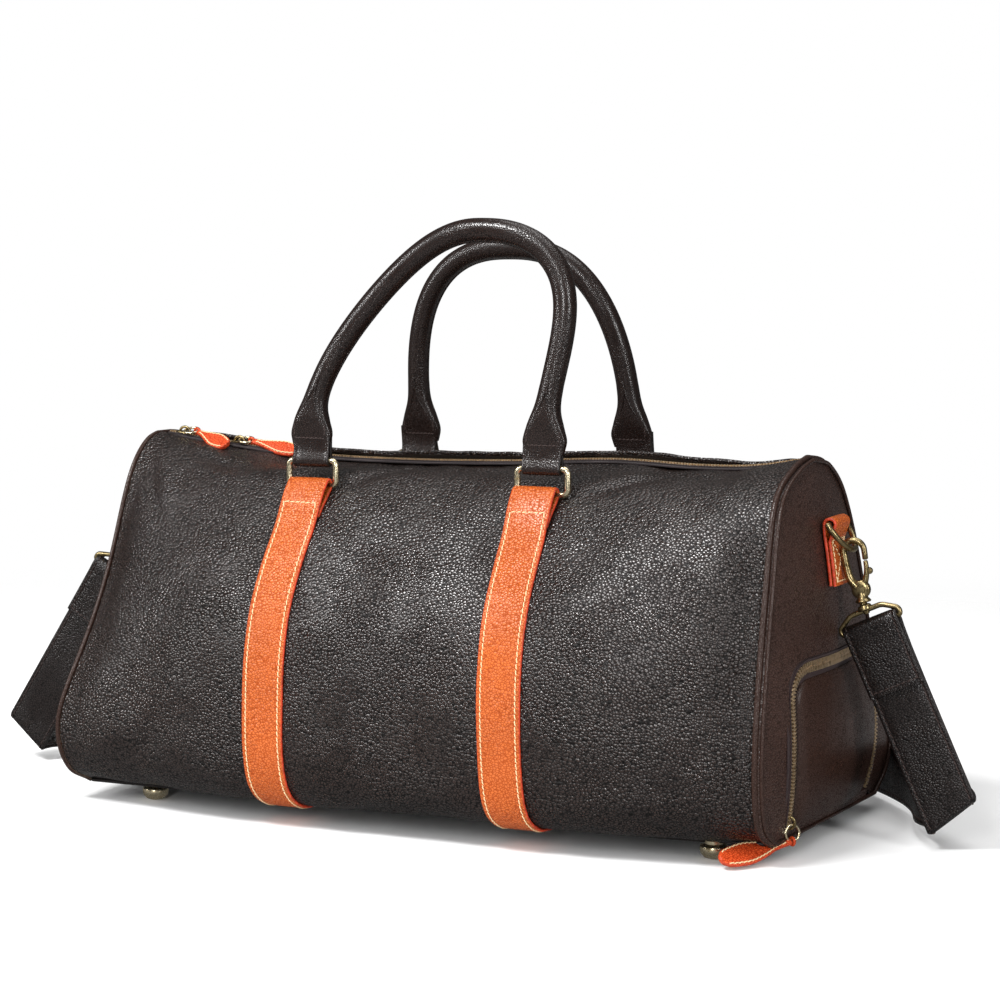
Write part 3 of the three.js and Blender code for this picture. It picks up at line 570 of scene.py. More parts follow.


# The second colour of each leather is painted shade for the cracks between its pebbles.
BROWN = leather("brown_leather", rgb(37, 25, 20), rgb(11, 7, 6), 2.3, 1.05, 0.27, 0.5, 0.85)
END_BROWN = leather("end_leather", rgb(62, 44, 38), rgb(44, 31, 26), 2.0, 0.5, 0.34, 0.4, 0.6)
SMOOTH = leather("brown_leather_smooth", rgb(52, 36, 30), rgb(42, 29, 24), 1.6, 0.1, 0.3, 0.25, 0.5)
WEB = leather("strap_leather", rgb(27, 18, 15), rgb(10, 6, 5), 1.7, 0.4, 0.28, 0.3, 0.6)
HANDLE = leather("handle_leather", rgb(34, 23, 19), rgb(20, 13, 11), 1.5, 0.22, 0.2, 0.3, 0.8)
ORANGE = leather("orange_leather", rgb(178, 88, 34), rgb(140, 60, 18), 2.0, 0.6, 0.34, 0.2, 0.5)
TAB_RED = leather("pull_tab_leather", rgb(192, 74, 36), rgb(146, 46, 18), 1.8, 0.45, 0.36, 0.4, 0.45)
BROWN_EDGE = edge_paint("brown_edge", rgb(26, 17, 15))
ORANGE_EDGE = edge_paint("orange_edge", rgb(190, 60, 30))
GOLD = metal("pale_gold", rgb(226, 212, 178), rgb(176, 154, 112), 0.2)
ANTIQUE = metal("antique_brass", rgb(150, 134, 98), rgb(62, 50, 32), 0.26)
TEETH = metal("zip_metal", rgb(198, 172, 138), rgb(104, 84, 62), 0.3, 0.85)
TAPE = weave("zip_tape", rgb(44, 32, 34), rgb(18, 12, 14), 0.9)
POCKET_TAPE = weave("pocket_zip_tape", rgb(58, 38, 38), rgb(24, 14, 14), 1.0)
LINING = weave("lining", rgb(116, 94, 72), rgb(70, 54, 40), 1.2)
CREAM = thread("cream_thread", rgb(232, 206, 162), rgb(188, 144, 96))
DARK_THREAD = thread("dark_thread", rgb(58, 42, 38), rgb(22, 15, 14))
BOARD = board("stiffener_board")


# ---------- pieces ----------
def piece(name, parts, materials, body, replaces=()):
    """One object from parts in millimetres, riding on a body, or on none."""
    points, faces, marks = [], [], []
    offset = 0
    for part_points, quads, caps, part_marks in parts:
        points.append(part_points)
        faces += (quads + offset).tolist() + [[v + offset for v in cap] for cap in caps]
        marks += list(part_marks) + [0] * len(caps)
        offset += len(part_points)
    mesh = bpy.data.meshes.new(name)
    mesh.from_pydata((np.vstack(points) * MM).tolist(), [], faces)
    for material in materials:
        mesh.materials.append(material)
    mesh.polygons.foreach_set("material_index", marks)
    mesh.polygons.foreach_set("use_smooth", [True] * len(faces))
    mesh.set_sharp_from_angle(angle=math.radians(52))
    mesh.update()
    obj = bpy.data.objects.new(name, mesh)
    bpy.context.scene.collection.objects.link(obj)
    if body:
        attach(obj, body)
    if replaces:
        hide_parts(*replaces)
    return obj


def weigh(obj, weights):
    """Bakes the piece's transform into its mesh; the weights, one for each vertex, are not used."""
    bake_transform(obj)


def vertex_array(obj):
    flat = np.zeros(len(obj.data.vertices) * 3, np.float32)
    obj.data.vertices.foreach_get("co", flat)
    return flat.reshape(-1, 3) / MM


def open_with(obj):
    """Weights that would open the middle of the piece with its wall and keep its two ends with the end
    panels, handed to weigh, which only bakes the piece's transform.
    """
    x = np.abs(vertex_array(obj)[:, 0])
    weigh(obj, ease((232 - x) / (232 - 108)))


# ---------- walls ----------
SECTIONS = {name: curve(outline) for name, outline in OUTLINES.items()}
TOP_TABLE = curve(TOP_LINE)
WALL_LENGTH = 300  # of an outline, from the base edge to the lip
WAVES = [(2.0, 75, 1), (1.0, 32, 2), (0.3, 13, 4)]  # height, size and seed
BELLY = 2.6  # puff of the wall between the straps
END_ROLL = {"height": 3.4, "at": 214, "half": 17}  # roll of the wall beside each end
# Soft folds pressed into each wall, from (x, u) to (x, u), with their depth and half width.
FOLD_DEEP = 1.5
FOLD_BANK = 0.8
FOLDS = {
    "front": [
        ((-232, 0.88), (-196, 0.70), 1.5, 7), ((-205, 0.93), (-150, 0.86), 1.2, 6),
        ((-225, 0.10), (-150, 0.30), 1.3, 9), ((-118, 0.90), (-96, 0.74), 1.3, 6),
        ((-66, 0.80), (-30, 0.90), 1.4, 6), ((60, 0.88), (96, 0.93), 1.0, 5),
        ((112, 0.80), (150, 0.90), 1.4, 6), ((225, 0.80), (190, 0.62), 1.1, 8),
        ((205, 0.08), (150, 0.16), 1.2, 8), ((-60, 0.05), (10, 0.12), 0.9, 7),
        ((-10, 0.94), (40, 0.90), 1.2, 5), ((160, 0.95), (205, 0.90), 1.1, 5),
    ],
    "rear": [
        ((-220, 0.85), (-180, 0.66), 1.4, 8), ((215, 0.86), (170, 0.68), 1.4, 8),
        ((-110, 0.78), (-80, 0.60), 1.1, 7), ((60, 0.72), (30, 0.86), 1.2, 7),
        ((-40, 0.10), (30, 0.16), 1.0, 8), ((110, 0.70), (150, 0.84), 1.2, 6),
    ],
}


def top_line(x):
    return np.interp(x, TOP_TABLE[:, 0], TOP_TABLE[:, 1])


def low_sag(end, z):
    reach, height, spread = END_SAG[end]
    return reach * np.exp(-(((z - height) / spread) ** 2))


def end_outline(side, x, u):
    """Section that the wall closes to at its end, and 1 where that end's corner is a full one."""
    right = ease((x + 60) / 120)[..., None]
    name = "slim_end" if side == "front" else "right_rear"
    section = sample(SECTIONS["left_end"], u) * (1 - right) + sample(SECTIONS[name], u) * right
    return section, 1 - right[..., 0] * (side == "front")


def wall_point(side, x, u):
    """A point of the wall's outer face before its relief: u runs from the base edge to the lip."""
    x, u = np.broadcast_arrays(np.asarray(x, float), np.asarray(u, float))
    to_end = np.clip((np.abs(x) - FLAT_X) / (END_X - FLAT_X), 0, 1) ** 2
    end, full = end_outline(side, x, u)
    p = sample(SECTIONS[side], u) * (1 - to_end[..., None]) + end * to_end[..., None]
    start = 0.84 - 0.24 * to_end
    lift = top_line(x) * ease((u - start) / (1 - start))
    lean = np.where(x > 0, low_sag(1, p[..., 1]), -low_sag(-1, p[..., 1]))
    lean = lean * full * ease((np.abs(x) - 185) / (END_X - 185))
    return np.stack([x + lean, SIGN[side] * p[..., 0], p[..., 1] + lift], -1)


def groove(x, u, start, end, half):
    """1 on the line from start to end and 0 a few half widths away from it."""
    a = np.array([start[0], start[1] * WALL_LENGTH])
    b = np.array([end[0], end[1] * WALL_LENGTH])
    p = np.stack([x, u * WALL_LENGTH], -1) - a
    t = np.clip((p @ (b - a)) / ((b - a) @ (b - a)), 0, 1)
    off = np.linalg.norm(p - t[..., None] * (b - a), axis=-1)
    return np.exp(-((off / half) ** 2)) * np.sin(math.pi * (0.12 + 0.76 * t))


def relief(side, x, u):
    """How far the soft leather stands out of the plain wall."""
    x, u = np.broadcast_arrays(np.asarray(x, float), np.asarray(u, float))
    off_middle = np.abs(x)
    from_strap = 1 - np.exp(-(((off_middle - RING_X) / 24) ** 2))
    arched = np.sin(math.pi * np.clip(u, 0, 1))
    total = BELLY * arched * from_strap * ease((238 - off_middle) / 50)
    roll = np.exp(-(((off_middle - END_ROLL["at"]) / END_ROLL["half"]) ** 2))
    total = total + END_ROLL["height"] * roll * arched**0.7
    place = np.stack([x, u * WALL_LENGTH, np.full(x.shape, 40.0 * SIGN[side])], -1)
    near_strap = 0.35 + 0.65 * from_strap
    for height, size, seed in WAVES:
        total = total + height * noise_at(place, size, seed) * near_strap
    total = total + 1.1 * noise_at(place * [1, 0.4, 1], 21, 5) * ease((u - 0.8) / 0.15) * near_strap
    for start, end, depth, half in FOLDS[side]:
        total = total - FOLD_DEEP * depth * groove(x, u, start, end, half)
        total = total + FOLD_BANK * depth * groove(x, u - 2 * half / WALL_LENGTH, start, end, half)
    total = total * ease((END_X - 2 - off_middle) / 16)
    bead = 1.2 if side == "rear" else 0.2
    return total * ease(u / 0.05) + bead * np.exp(-((u - 0.985) / 0.02) ** 2)


def wall_skin(side, x, u):
    """Points of the finished outer face and the outward normals there."""
    x, u = np.broadcast_arrays(np.asarray(x, float), np.asarray(u, float))
    along = wall_point(side, x + 1, u) - wall_point(side, x - 1, u)
    climb = wall_point(side, x, np.minimum(u + 0.004, 1)) - wall_point(side, x, np.maximum(u - 0.004, 0))
    normal = unit(np.cross(along, climb))
    normal = normal * np.sign(normal[..., 1] * SIGN[side] + 1e-9)[..., None]
    return wall_point(side, x, u) + normal * relief(side, x, u)[..., None], normal


# The wall's columns stand closer together near its two ends.
NEAR_END = np.linspace(224, 242.6, 18)
WALL_XS = np.concatenate([-NEAR_END[::-1], np.linspace(-221.5, 221.5, 178), NEAR_END])


def walls():
    """Front and rear leather, each one sheet from the base edge to the zip."""
    for side in SIGN:
        u = np.concatenate([np.linspace(0, 0.94, 116), np.linspace(0.946, 1, 12)])
        points, _ = wall_skin(side, WALL_XS[:, None], u[None])
        shell = sheet(points, LEATHER, (0, SIGN[side], 0.3), inner_mark=1)
        obj = piece(f"{side}_leather", [shell], [BROWN, LINING], None, [f"{side}_panel"])
        open_with(obj)


def base():
    """The bottom panel, with a welt round it where it meets the walls."""
    xs = np.linspace(-END_X + 1, END_X - 1, 60)
    front, rear = (wall_point(side, xs, 0.0)[:, None, 1] - 1.6 * SIGN[side] for side in SIGN)
    across = np.linspace(-1, 1, 24)
    rise = 1.4 * np.abs(across) ** 8
    y = front + (rear - front) * (across + 1) / 2
    grid = np.stack([np.repeat(xs[:, None], 24, 1), y, BASE_Z + 0.4 + rise[None].repeat(60, 0)], -1)
    bottom = sheet(grid, LEATHER - 0.6, (0, 0, -1), inner_mark=1)
    piece("base_leather", [bottom], [BROWN, LINING], "root", ["base_panel"])
    for side, sign in SIGN.items():
        path = wall_point(side, np.linspace(-END_X + 2, END_X - 2, 120), 0.006) + [0, 0.6 * sign, -0.6]
        piece(f"{side}_base_welt", [tube(path, 1.5, sides=10)], [BROWN_EDGE], "root")


# ---------- ends ----------
OUTER_X = 246.4
EDGE_Y = 9  # the end panels' sewn edges stop this far from the top zip
BULGE = {1: 16, -1: 11}  # how far the middle of each end stands out: 1 is the shoe-pocket end


def end_half(end, y, z):
    """Half depth of an end at height z, on the side of y."""
    front, rear = ("slim_end", "right_rear") if end > 0 else ("left_end", "left_end")
    depth = {name: np.interp(z, SECTIONS[name][:, 1], SECTIONS[name][:, 0]) for name in (front, rear)}
    return np.where(np.asarray(y) < 0, depth[front], depth[rear])


def dome(end, y, z):
    up = np.clip((z - BASE_Z) / (LIP_TOP - BASE_Z), 0, 1)
    return BULGE[end] * np.clip(1 - (y / end_half(end, y, z)) ** 2, 0, 1) * np.sin(math.pi * up)


def end_depth(end, y, z):
    """Distance of an end panel's outer face from the middle of the bag."""
    full = 1 if end < 0 else ease((y / 110 + 1) / 2)
    return OUTER_X + dome(end, y, z) + full * low_sag(end, z)


def end_point(end, y, z):
    """A point of an end panel's outer face, with soft dents."""
    y, z = np.broadcast_arrays(np.asarray(y, float), np.asarray(z, float))
    place = np.stack([np.full(y.shape, end * 90.0), y, z], -1)
    inside = np.clip(dome(end, y, z) / 4, 0, 1)
    soft = (1.3 * noise_at(place, 52, 6) + 0.6 * noise_at(place, 22, 7)) * inside
    return np.stack([end * (end_depth(end, y, z) + soft), y, z], -1)


def end_edge(end, count, lowest_y):
    """The sewn edge of an end, from its front bottom corner over the top to its rear one."""
    u = np.linspace(0, 1, 400)
    front, rear = (wall_point(side, END_X * end, u) for side in SIGN)
    front, rear = front[front[:, 1] < -lowest_y], rear[rear[:, 1] > lowest_y]
    return resample(np.vstack([front, rear[::-1]]), count)


def arch(inset, count):
    """The arch of the shoe pocket from its front foot to its rear foot, as even [y, z] pairs."""
    top, reach = ARCH["top"] - inset, ARCH["round"] - inset / 2
    t = np.linspace(0, 1, 16)[:, None]
    halves = []
    for side, (foot, shoulder) in ARCH_LEGS.items():
        low, high = foot - inset, shoulder - inset
        bend = (1 - t) ** 2 * [high, top - reach] + 2 * t * (1 - t) * [high, top] + t**2 * [high - reach, top]
        halves.append(np.vstack([[[low, ARCH["floor"]]], bend]) * [side, 1])
    return resample(np.vstack([halves[0], halves[1][::-1]]), count)


def right_end():
    """The end panel round the pocket's arch, and the sill under it."""
    count = 150
    outer, inner = end_edge(1, count, EDGE_Y)[:, 1:] - [0, 1.2], arch(0, count)
    yz = inner + (outer - inner) * np.linspace(0, 1, 40)[:, None, None]
    panel = sheet(end_point(1, yz[..., 0], yz[..., 1]), LEATHER, (1, 0, 0), inner_mark=1)
    low, high = -ARCH_LEGS[-1][0] - 3, ARCH_LEGS[1][0] + 3
    y, z = np.meshgrid(np.linspace(low, high, 60), np.linspace(13, 19.2, 6), indexing="ij")
    sill = sheet(end_point(1, y, z), LEATHER, (1, 0, 0), inner_mark=1)
    return [panel, sill]


def left_end():
    edge = end_edge(-1, 160, EDGE_Y)[:, 1:] - [0, 1.2]
    front, rear = edge[:80, None], edge[:79:-1, None]
    yz = front + (rear - front) * np.linspace(0, 1, 60)[:, None]
    return [sheet(end_point(-1, yz[..., 0], yz[..., 1]), LEATHER, (-1, 0, 0), inner_mark=1)]


def ends():
    for name, parts in (("right", right_end()), ("left", left_end())):
        leathers = [END_BROWN, LINING]
        piece(f"{name}_end_leather", parts, leathers, "root", [f"{name}_end_panel"])


def pipings():
    """Corded piping and a thinner bead round the shoe-pocket end, and a plain welt round the other end."""
    for name, end in ENDS.items():
        edge = end_edge(end, 260, EDGE_Y)
        away = unit((edge - [0, 0, 125]) * [0, 1, 1])
        parts = []
        for out_x, radius, out in PIPING[name]:
            path = edge + away * out + [out_x * end, 0, 0]
            parts.append(tube(path, radius, closed=True, sides=14))
        piece(f"{name}_piping_cord", parts, [SMOOTH], "root", [f"{name}_piping"])


# ---------- zips ----------
def tooth(size):
    """A zip tooth that reaches across the middle line, with a thicker foot on its tape."""
    loops = [
        [(a * 0.42 * size, y * size, b * h * size) for a, b in ((-1, -1), (1, -1), (1, 1), (-1, 1))]
        for y, h in ((-0.5, 0.5), (0.1, 0.95), (1.2, 1.0), (2.6, 0.8))
    ]
    return skin(loops)


def chain(track, sign, phase, kind):
    """One row of teeth, on one side of the track."""
    pitch = TOOTH[kind]["pitch"]
    p, along, across, up = track.at(np.arange(1 + phase * pitch, track.length - 1, pitch))
    return copies(tooth(TOOTH[kind]["size"]), p, np.stack([along, across * sign, up], 1))


def zip_line(x):
    return np.column_stack([x, 0 * x, ZIP_Z + 0.8 + top_line(x)])


def tape_strip(track, inside, outside, drop, thickness=0.8):
    """A flat tape between two distances to one side of a track."""
    s = np.linspace(0, track.length, int(track.length / 3))
    section = [(inside, drop), (outside, drop), (outside, drop - thickness), (inside, drop - thickness)]
    p, _, across, up = track.at(s)
    loops = np.stack([p + across * a + up * h for a, h in section], 1)
    return skin(loops)


def top_zip():
    """Teeth and tape of both sides, the rows half a pitch apart so that they mesh."""
    track = Track(zip_line(np.linspace(-239, 239, 240)), (0, 1, 0))
    for phase, (side, sign) in enumerate(SIGN.items()):
        row = chain(track, sign, phase * 0.5, "top")
        teeth = piece(f"{side}_zip_chain", [row], [TEETH], None, [f"{side}_zip_teeth"])
        tape = tape_strip(track, sign * 1.0, sign * 9.5, -0.9)
        cord = tape_strip(track, sign * 3.0, sign * 4.2, 0.2, 1.2)
        cloth = piece(f"{side}_zip_tape_cloth", [tape, cord], [TAPE], None, [f"{side}_zip_tape"])
        open_with(teeth)
        open_with(cloth)


def slider_parts():
    """A zip slider along X: a heart-shaped plate over and under the teeth, and a bridge on top."""
    nose = [(-6.2, 0.5), (-5.6, 2.6), (-4, 3.4), (-1, 3.9)]
    tail = [(2.4, 4.6), (4.6, 4.8), (5.6, 4.2), (6.0, 0.8)]
    plates = []
    for z, thick in ((3.1, 0.75), (-2.9, 0.7)):
        loops = []
        for x, half in nose + tail:
            section = oval(half, thick * min(1, half / 2), 4, 20) + [0, z]
            loops.append(np.column_stack([np.full(20, x), section]))
        plates.append(skin(loops))
    web = lathe([(0.9, -2.6), (0.9, 2.9)], Matrix.Translation((2.5, 0, 0)), 12)
    w = np.linspace(-0.15, math.pi + 0.15, 16)
    bridge = tube(np.column_stack([4.1 * np.cos(w), 0 * w, 3.5 + 3.6 * np.sin(w)]), 0.95, sides=10)
    return [*plates, web, bridge]


def leaf_half(t, wide):
    """Half width of a leaf-shaped pull at t from 0 at its eye to 1 at its tip."""
    stem = [(0, 2.0), (0.18, 2.8), (0.42, 0.74 * wide)]
    blade = [(0.66, wide), (0.86, 0.86 * wide), (0.97, 0.5 * wide), (1, 0.6)]
    outline = curve(stem + blade, 200)
    return np.interp(t, outline[:, 0], outline[:, 1])


def leaf_parts(length, wide):
    """A stitched two-layer leather pull along X, and its stitches."""
    t = np.concatenate([np.linspace(0, 0.9, 30), np.linspace(0.915, 1, 12)])
    x = 1.5 + t * (length - 1.5)
    loops = []
    marks = np.zeros(28, int)
    marks[[0, 13, 14, 27]] = 1
    for place, half in zip(x, leaf_half(t, wide)):
        thick = 1.75 * min(1, 0.45 + half / 5)
        loops.append(np.column_stack([np.full(28, place), oval(half, thick, 3.2, 28)]))
    body = skin(loops, marks=marks)
    threads = []
    for sign in (-1, 1):
        run = np.linspace(0.08, 0.93, 60)
        edge = np.column_stack([1.5 + run * (length - 1.5), sign * (leaf_half(run, wide) - 1.5), 0 * run])
        track = Track(edge, (0, sign, 0))
        for lift in (1.55, -1.55):
            threads += sew(track, lift * sign, (0, 0), (track.length, 0), pitch=3.2)
    return body, threads


def eye():
    """The leather eye at the start of a pull, with its bore along Y."""
    w = np.linspace(0, 2 * math.pi, 20)[:-1]
    return tube(np.column_stack([2.3 * np.cos(w), 0 * w, 2.3 * np.sin(w)]), 1.0, closed=True, sides=8)


def pull_ring():
    """Round wire ring of a pull, with its bridge end at the origin."""
    w = np.linspace(0, 2 * math.pi, 33)[:-1]
    return tube(np.column_stack([PULL_R + PULL_R * np.cos(w), PULL_R * np.sin(w), 0 * w]), 0.95, closed=True)


def facing(origin, along, face):
    """Frame at origin with X along one direction and Z as near as it can be to another."""
    x = Vector(along).normalized()
    y = Vector(face).cross(x).normalized()
    matrix = Matrix((x, y, x.cross(y))).transposed().to_4x4()
    matrix.translation = Vector(origin)
    return matrix


def slider_pieces(name, matrix, ring_along, ring_face):
    """Slider, ring and tab; the ring hangs in the slider's bridge and the tab on the ring."""
    ring_matrix = facing(matrix @ Vector((1, 0, 5.4)), ring_along, ring_face)
    end = Matrix.Translation((2 * PULL_R, 0, 0))
    tab_matrix = facing((ring_matrix @ end).translation, TAB_LIE[name], TAB_FACE[name])
    parts = [placed(part, matrix) for part in slider_parts()]
    piece(f"{name}_slider_body", parts, [ANTIQUE], f"{name}_slider", [f"{name}_slider"])
    ring = placed(pull_ring(), ring_matrix)
    piece(f"{name}_ring_pull", [ring], [GOLD], f"{name}_pull_ring", [f"{name}_pull_ring"])
    body, threads = leaf_parts(TAB_LENGTH[name], TAB_WIDE[name])
    leaf = [placed(body, tab_matrix), placed(eye(), ring_matrix @ end)]
    tab = f"{name}_pull_tab"
    piece(f"{name}_leaf_tab", leaf, [TAB_RED, ORANGE_EDGE], tab, [tab])
    rows = [placed(part, tab_matrix) for part in threads]
    piece(f"{name}_leaf_stitching", rows, [CREAM], tab)


def cad_zip_z(x):
    """Height of the CAD zip, which the sliders follow: level, and then rising to the left end."""
    return ZIP_Z + 8 * max(0, -190 - x) / 53


def top_sliders():
    for name, x in SLIDER_X.items():
        slope = math.atan2(cad_zip_z(x - 1) - cad_zip_z(x + 1), 2)
        matrix = Matrix.Translation((x, 0, cad_zip_z(x))) @ Matrix.Rotation(slope, 4, "Y")
        slider_pieces(name, matrix, (1, -0.15, -0.12), (0, -0.3, 1))


def shoe_slider():
    """The pocket's slider, near the foot of the arch's front leg, with its tab lying to the front."""
    yz = arch(ZIP_SLOT / 2, 400)[[0, 100]]
    points = np.column_stack([OUTER_X + dome(1, yz[:, 0], yz[:, 1]) - 1.4, yz])
    down = Vector(points[0] - points[1]).normalized()
    side = Vector((1, 0, 0)).cross(down).normalized()
    out = down.cross(side)
    matrix = Matrix((down, side, out)).transposed().to_4x4()
    matrix.translation = Vector(points[0]) - down * 3
    slider_pieces("shoe", matrix, (0.05, -0.1, -0.95), (0.8, -0.6, 0))


def arch_track(inset, depth, count=260):
    yz = arch(inset, count)
    x = end_depth(1, yz[:, 0], yz[:, 1]) - depth
    points = np.column_stack([x, yz])
    side = np.gradient(points, axis=0)
    return Track(points, np.cross(ALONG_BAG, side))


def bend_at_sill(obj):
    """Weights that would keep the foot of the flap sewn to the bag and swing the rest open, handed to weigh,
    which only bakes the piece's transform.
    """
    weigh(obj, ease((vertex_array(obj)[:, 2] - ARCH["floor"] - 1) / 24))


def shoe_zip():
    """The pocket's zip: half of the tape and teeth ride on the bag, and the flap's half rides on no body."""
    track = arch_track(ZIP_SLOT / 2, 0.6)
    for name, way, body, phase in (("body", 1, "root", 0.0), ("flap", -1, None, 0.5)):
        row = chain(track, way, phase, "shoe")
        node = f"shoe_zip_teeth_{name}"
        teeth = piece(f"shoe_zip_chain_{name}", [row], [TEETH], body, [node])
        tape = tape_strip(track, way * 0.6, way * 8.4, -0.8, 0.8)
        cord = tape_strip(track, way * 3.4, way * 4.6, 0.2, 1.2)
        cloth = piece(f"shoe_zip_tape_{name}", [tape, cord], [POCKET_TAPE], body)
        if body is None:
            bend_at_sill(teeth)
            bend_at_sill(cloth)


def shoe_flap():
    """The puffed pocket flap, soft at its middle and turned in at its edge."""
    rows, cols = 70, 70
    inset = ZIP_SLOT + 0.7
    path = arch(inset, 600)
    rise = ARCH["top"] - inset - ARCH["floor"] - 0.05
    zs = ARCH["floor"] + rise * np.sin(np.linspace(0, math.pi / 2, rows))
    half = len(path) // 2
    front = np.interp(zs, path[:half, 1], path[:half, 0])[:, None]
    rear = np.interp(zs, path[half:, 1][::-1], path[half:, 0][::-1])[:, None]
    s = np.sin(np.linspace(-math.pi / 2, math.pi / 2, cols))
    y = front + (rear - front) * (s + 1) / 2
    z = np.repeat(zs[:, None], cols, 1)
    up = (z - ARCH["floor"]) / (zs[-1] - ARCH["floor"])
    edge = np.minimum(np.minimum(y - front, rear - y), zs[-1] - z)
    puff = FLAP_PUFF * (1 - s**2) ** 0.6 * np.sin(math.pi * np.clip(0.16 + 0.8 * up, 0, 1)) ** 0.8
    roll = -2.6 * np.exp(-edge / 1.6)
    place = np.stack([np.zeros(y.shape), y, z], -1)
    soft = 1.1 * noise_at(place * [1, 1, 0.5], 30, 8) * np.clip(edge / 14, 0, 1)
    x = end_depth(1, y, z) + puff + roll + soft
    flap = sheet(np.stack([x, y, z], -1), LEATHER, (1, 0, 0), inner_mark=1)
    bend_at_sill(piece("shoe_flap_leather", [flap], [SMOOTH, LINING], None, ["shoe_flap"]))


# ---------- straps, rings and handles ----------
def ring_frame(side):
    """Place of the ring's seat on the plain wall, its outward normal and its upward tangent."""
    u = RING_AT[side]
    p, above, below = (wall_point(side, 0.0, v) for v in (u, u + 0.002, u - 0.002))
    tangent = unit(above - below)
    normal = np.cross(tangent, ALONG_BAG)
    return p, normal * np.sign(normal[1] * SIGN[side]), tangent


def strap_track(side, hand):
    """From the folded end up behind the strap, round the ring's lower bar and down to the base."""
    top_u = RING_AT[side]
    seat, normal, tangent = ring_frame(side)
    middle = np.array([hand * STRAP_TOP_X, seat[1], seat[2]])
    wrap = WIRE_R + EYE_GAP + STRAP_T / 2
    behind_u = top_u - np.linspace(1, 0.15, 8) * FOLD_LENGTH / WALL_LENGTH
    behind = wall_point(side, np.full(8, middle[0]), behind_u) + normal * 1.9
    w = np.linspace(0, math.pi, 16)[:, None]
    turn = middle + normal * (2.1 + wrap * (1 - np.cos(w))) + tangent * wrap * np.sin(w)
    down = np.linspace(0.03, 1, 100)
    u = top_u - down * (top_u - 0.006)
    x = hand * (STRAP_BASE_X + (STRAP_TOP_X - STRAP_BASE_X) * (u / top_u) ** 1.3)
    points, normals = wall_skin(side, x, u)
    plain = wall_point(side, x, u)
    points = points + (plain - points) * ease((u - top_u + 0.16) / 0.12)[:, None]
    over_bar = 2.1 + 2 * wrap
    lay = over_bar + (1.5 - over_bar) * ease(down * top_u * WALL_LENGTH / (FOLD_LENGTH + 14)) ** 0.8
    across = -ALONG_BAG if side == "front" else ALONG_BAG
    return Track(np.vstack([behind, turn, points + normals * lay[:, None]]), across), len(behind) + len(turn)


def straps():
    """The four orange straps, each sewn down along both edges and across its top."""
    aside = STRAP_W / 2 - 3
    lift = -STRAP_T / 2 + 0.1
    for side in SIGN:
        for hand_name, hand in HANDS.items():
            track, turned = strap_track(side, hand)
            name = f"{side}_strap_{hand_name}"
            body = f"{side}_wall"
            strap = strip(track, STRAP_W, STRAP_T, wobble=0.012)
            piece(f"{name}_leather", [strap], [ORANGE, ORANGE_EDGE], body, [name])
            top, foot = track.far[turned] + STITCH_START, track.length - 2
            rows = sew(track, lift, (foot, -aside), (top, -aside), (top, aside), (foot, aside))
            piece(f"{name}_stitching", rows, [CREAM], body)


def ring_bar(side):
    """Middle of the lower bar of a ring of this side, from the CAD ring."""
    low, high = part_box(f"{side}_ring_left")
    aside, lower = RING_SHIFT[side]
    return (low.y + high.y) / 2 / MM + aside, low.z / MM + WIRE_R + lower


def rings():
    """Rectangular wire rings, hanging in the folded ends of the straps."""
    for side in SIGN:
        y, z = ring_bar(side)
        for hand_name, hand in HANDS.items():
            loop = corner_loop(RING_W + 2 * WIRE_R + 1, RING_DROP, 3.4)
            x = loop[:, 0] + hand * RING_X + RING_ASIDE
            path = np.column_stack([x, np.full(len(loop), y), loop[:, 1] + z + RING_DROP / 2])
            name = f"{side}_ring_{hand_name}"
            wire = tube(path, WIRE_R + 0.4, closed=True)
            piece(f"{name}_wire", [wire], [GOLD], f"{side}_rings", [name])


def handle_loop(x):
    """Leather loop round the ring's upper bar, with its two layers sewn together above it."""
    wrap = WIRE_R + EYE_GAP + 0.6
    w = np.linspace(-0.12, math.pi + 0.12, 18)
    arc = np.column_stack([np.full(18, x), wrap * np.cos(w), -wrap * np.sin(w)])
    legs = [[(x, sign * 1.5, LOOP_STEM), (x, sign * 1.5, 12), (x, sign * 1.7, 6)] for sign in (1, -1)]
    return Track(resample(np.vstack([legs[0], arc, legs[1][::-1]]), 60), ALONG_BAG)


def arch_centre(spec, count=150):
    """The middle line of a handle, from the loop on its left ring to the one on its right ring."""
    w = math.pi * (1 - np.linspace(0, 1, count))
    c = np.cos(w)
    power = 2 / np.where(c < 0, spec["left"], spec["right"])
    rise = np.abs(np.sin(w)) ** power
    x = spec["half"] * np.sign(c) * np.abs(c) ** power + spec["lean"] * ease(rise)
    start = LOOP_STEM + 2.6
    path = np.column_stack([x, 0 * x, start + spec["height"] * rise])
    feet = [[(sign * spec["half"], 0, z) for z in (9.0, 13.0, 18.0)] for sign in (-1, 1)]
    return resample(np.vstack([feet[0], path, feet[1][::-1]]), count)


# Half width and half thickness of the grip at distances from its sewn end.
GRIP_AT = [0, 4, 9, 18, 30, 46]
GRIP_WIDE = [13.2, 14.4, 15.2, 12.6, 8.8, HANDLE_R]
GRIP_THIN = [3.0, 3.2, 4.0, 5.8, 7.2, HANDLE_R]


def grip_size(from_end):
    wide = curve(list(zip(GRIP_AT, GRIP_WIDE)), 200)
    thin = curve(list(zip(GRIP_AT, GRIP_THIN)), 200)
    return np.interp(from_end, wide[:, 0], wide[:, 1]), np.interp(from_end, thin[:, 0], thin[:, 1])


def rolled_handle(track):
    """The rolled grip, which flattens and widens where it is sewn to its loops."""
    s = np.linspace(0, track.length, 190)
    p, _, across, up = track.at(s)
    from_end = np.minimum(s, track.length - s)
    wide, thin = grip_size(from_end)
    flat = ease((40 - from_end) / 32)
    lump = 1 + 0.018 * noise_at(p, 16, 9)
    loops = []
    for k in range(len(s)):
        section = oval(thin[k] * lump[k], wide[k], 2 + 1.6 * flat[k], 36)
        loops.append(p[k] + section[:, :1] * across[k] + section[:, 1:] * up[k])
    return skin(loops)


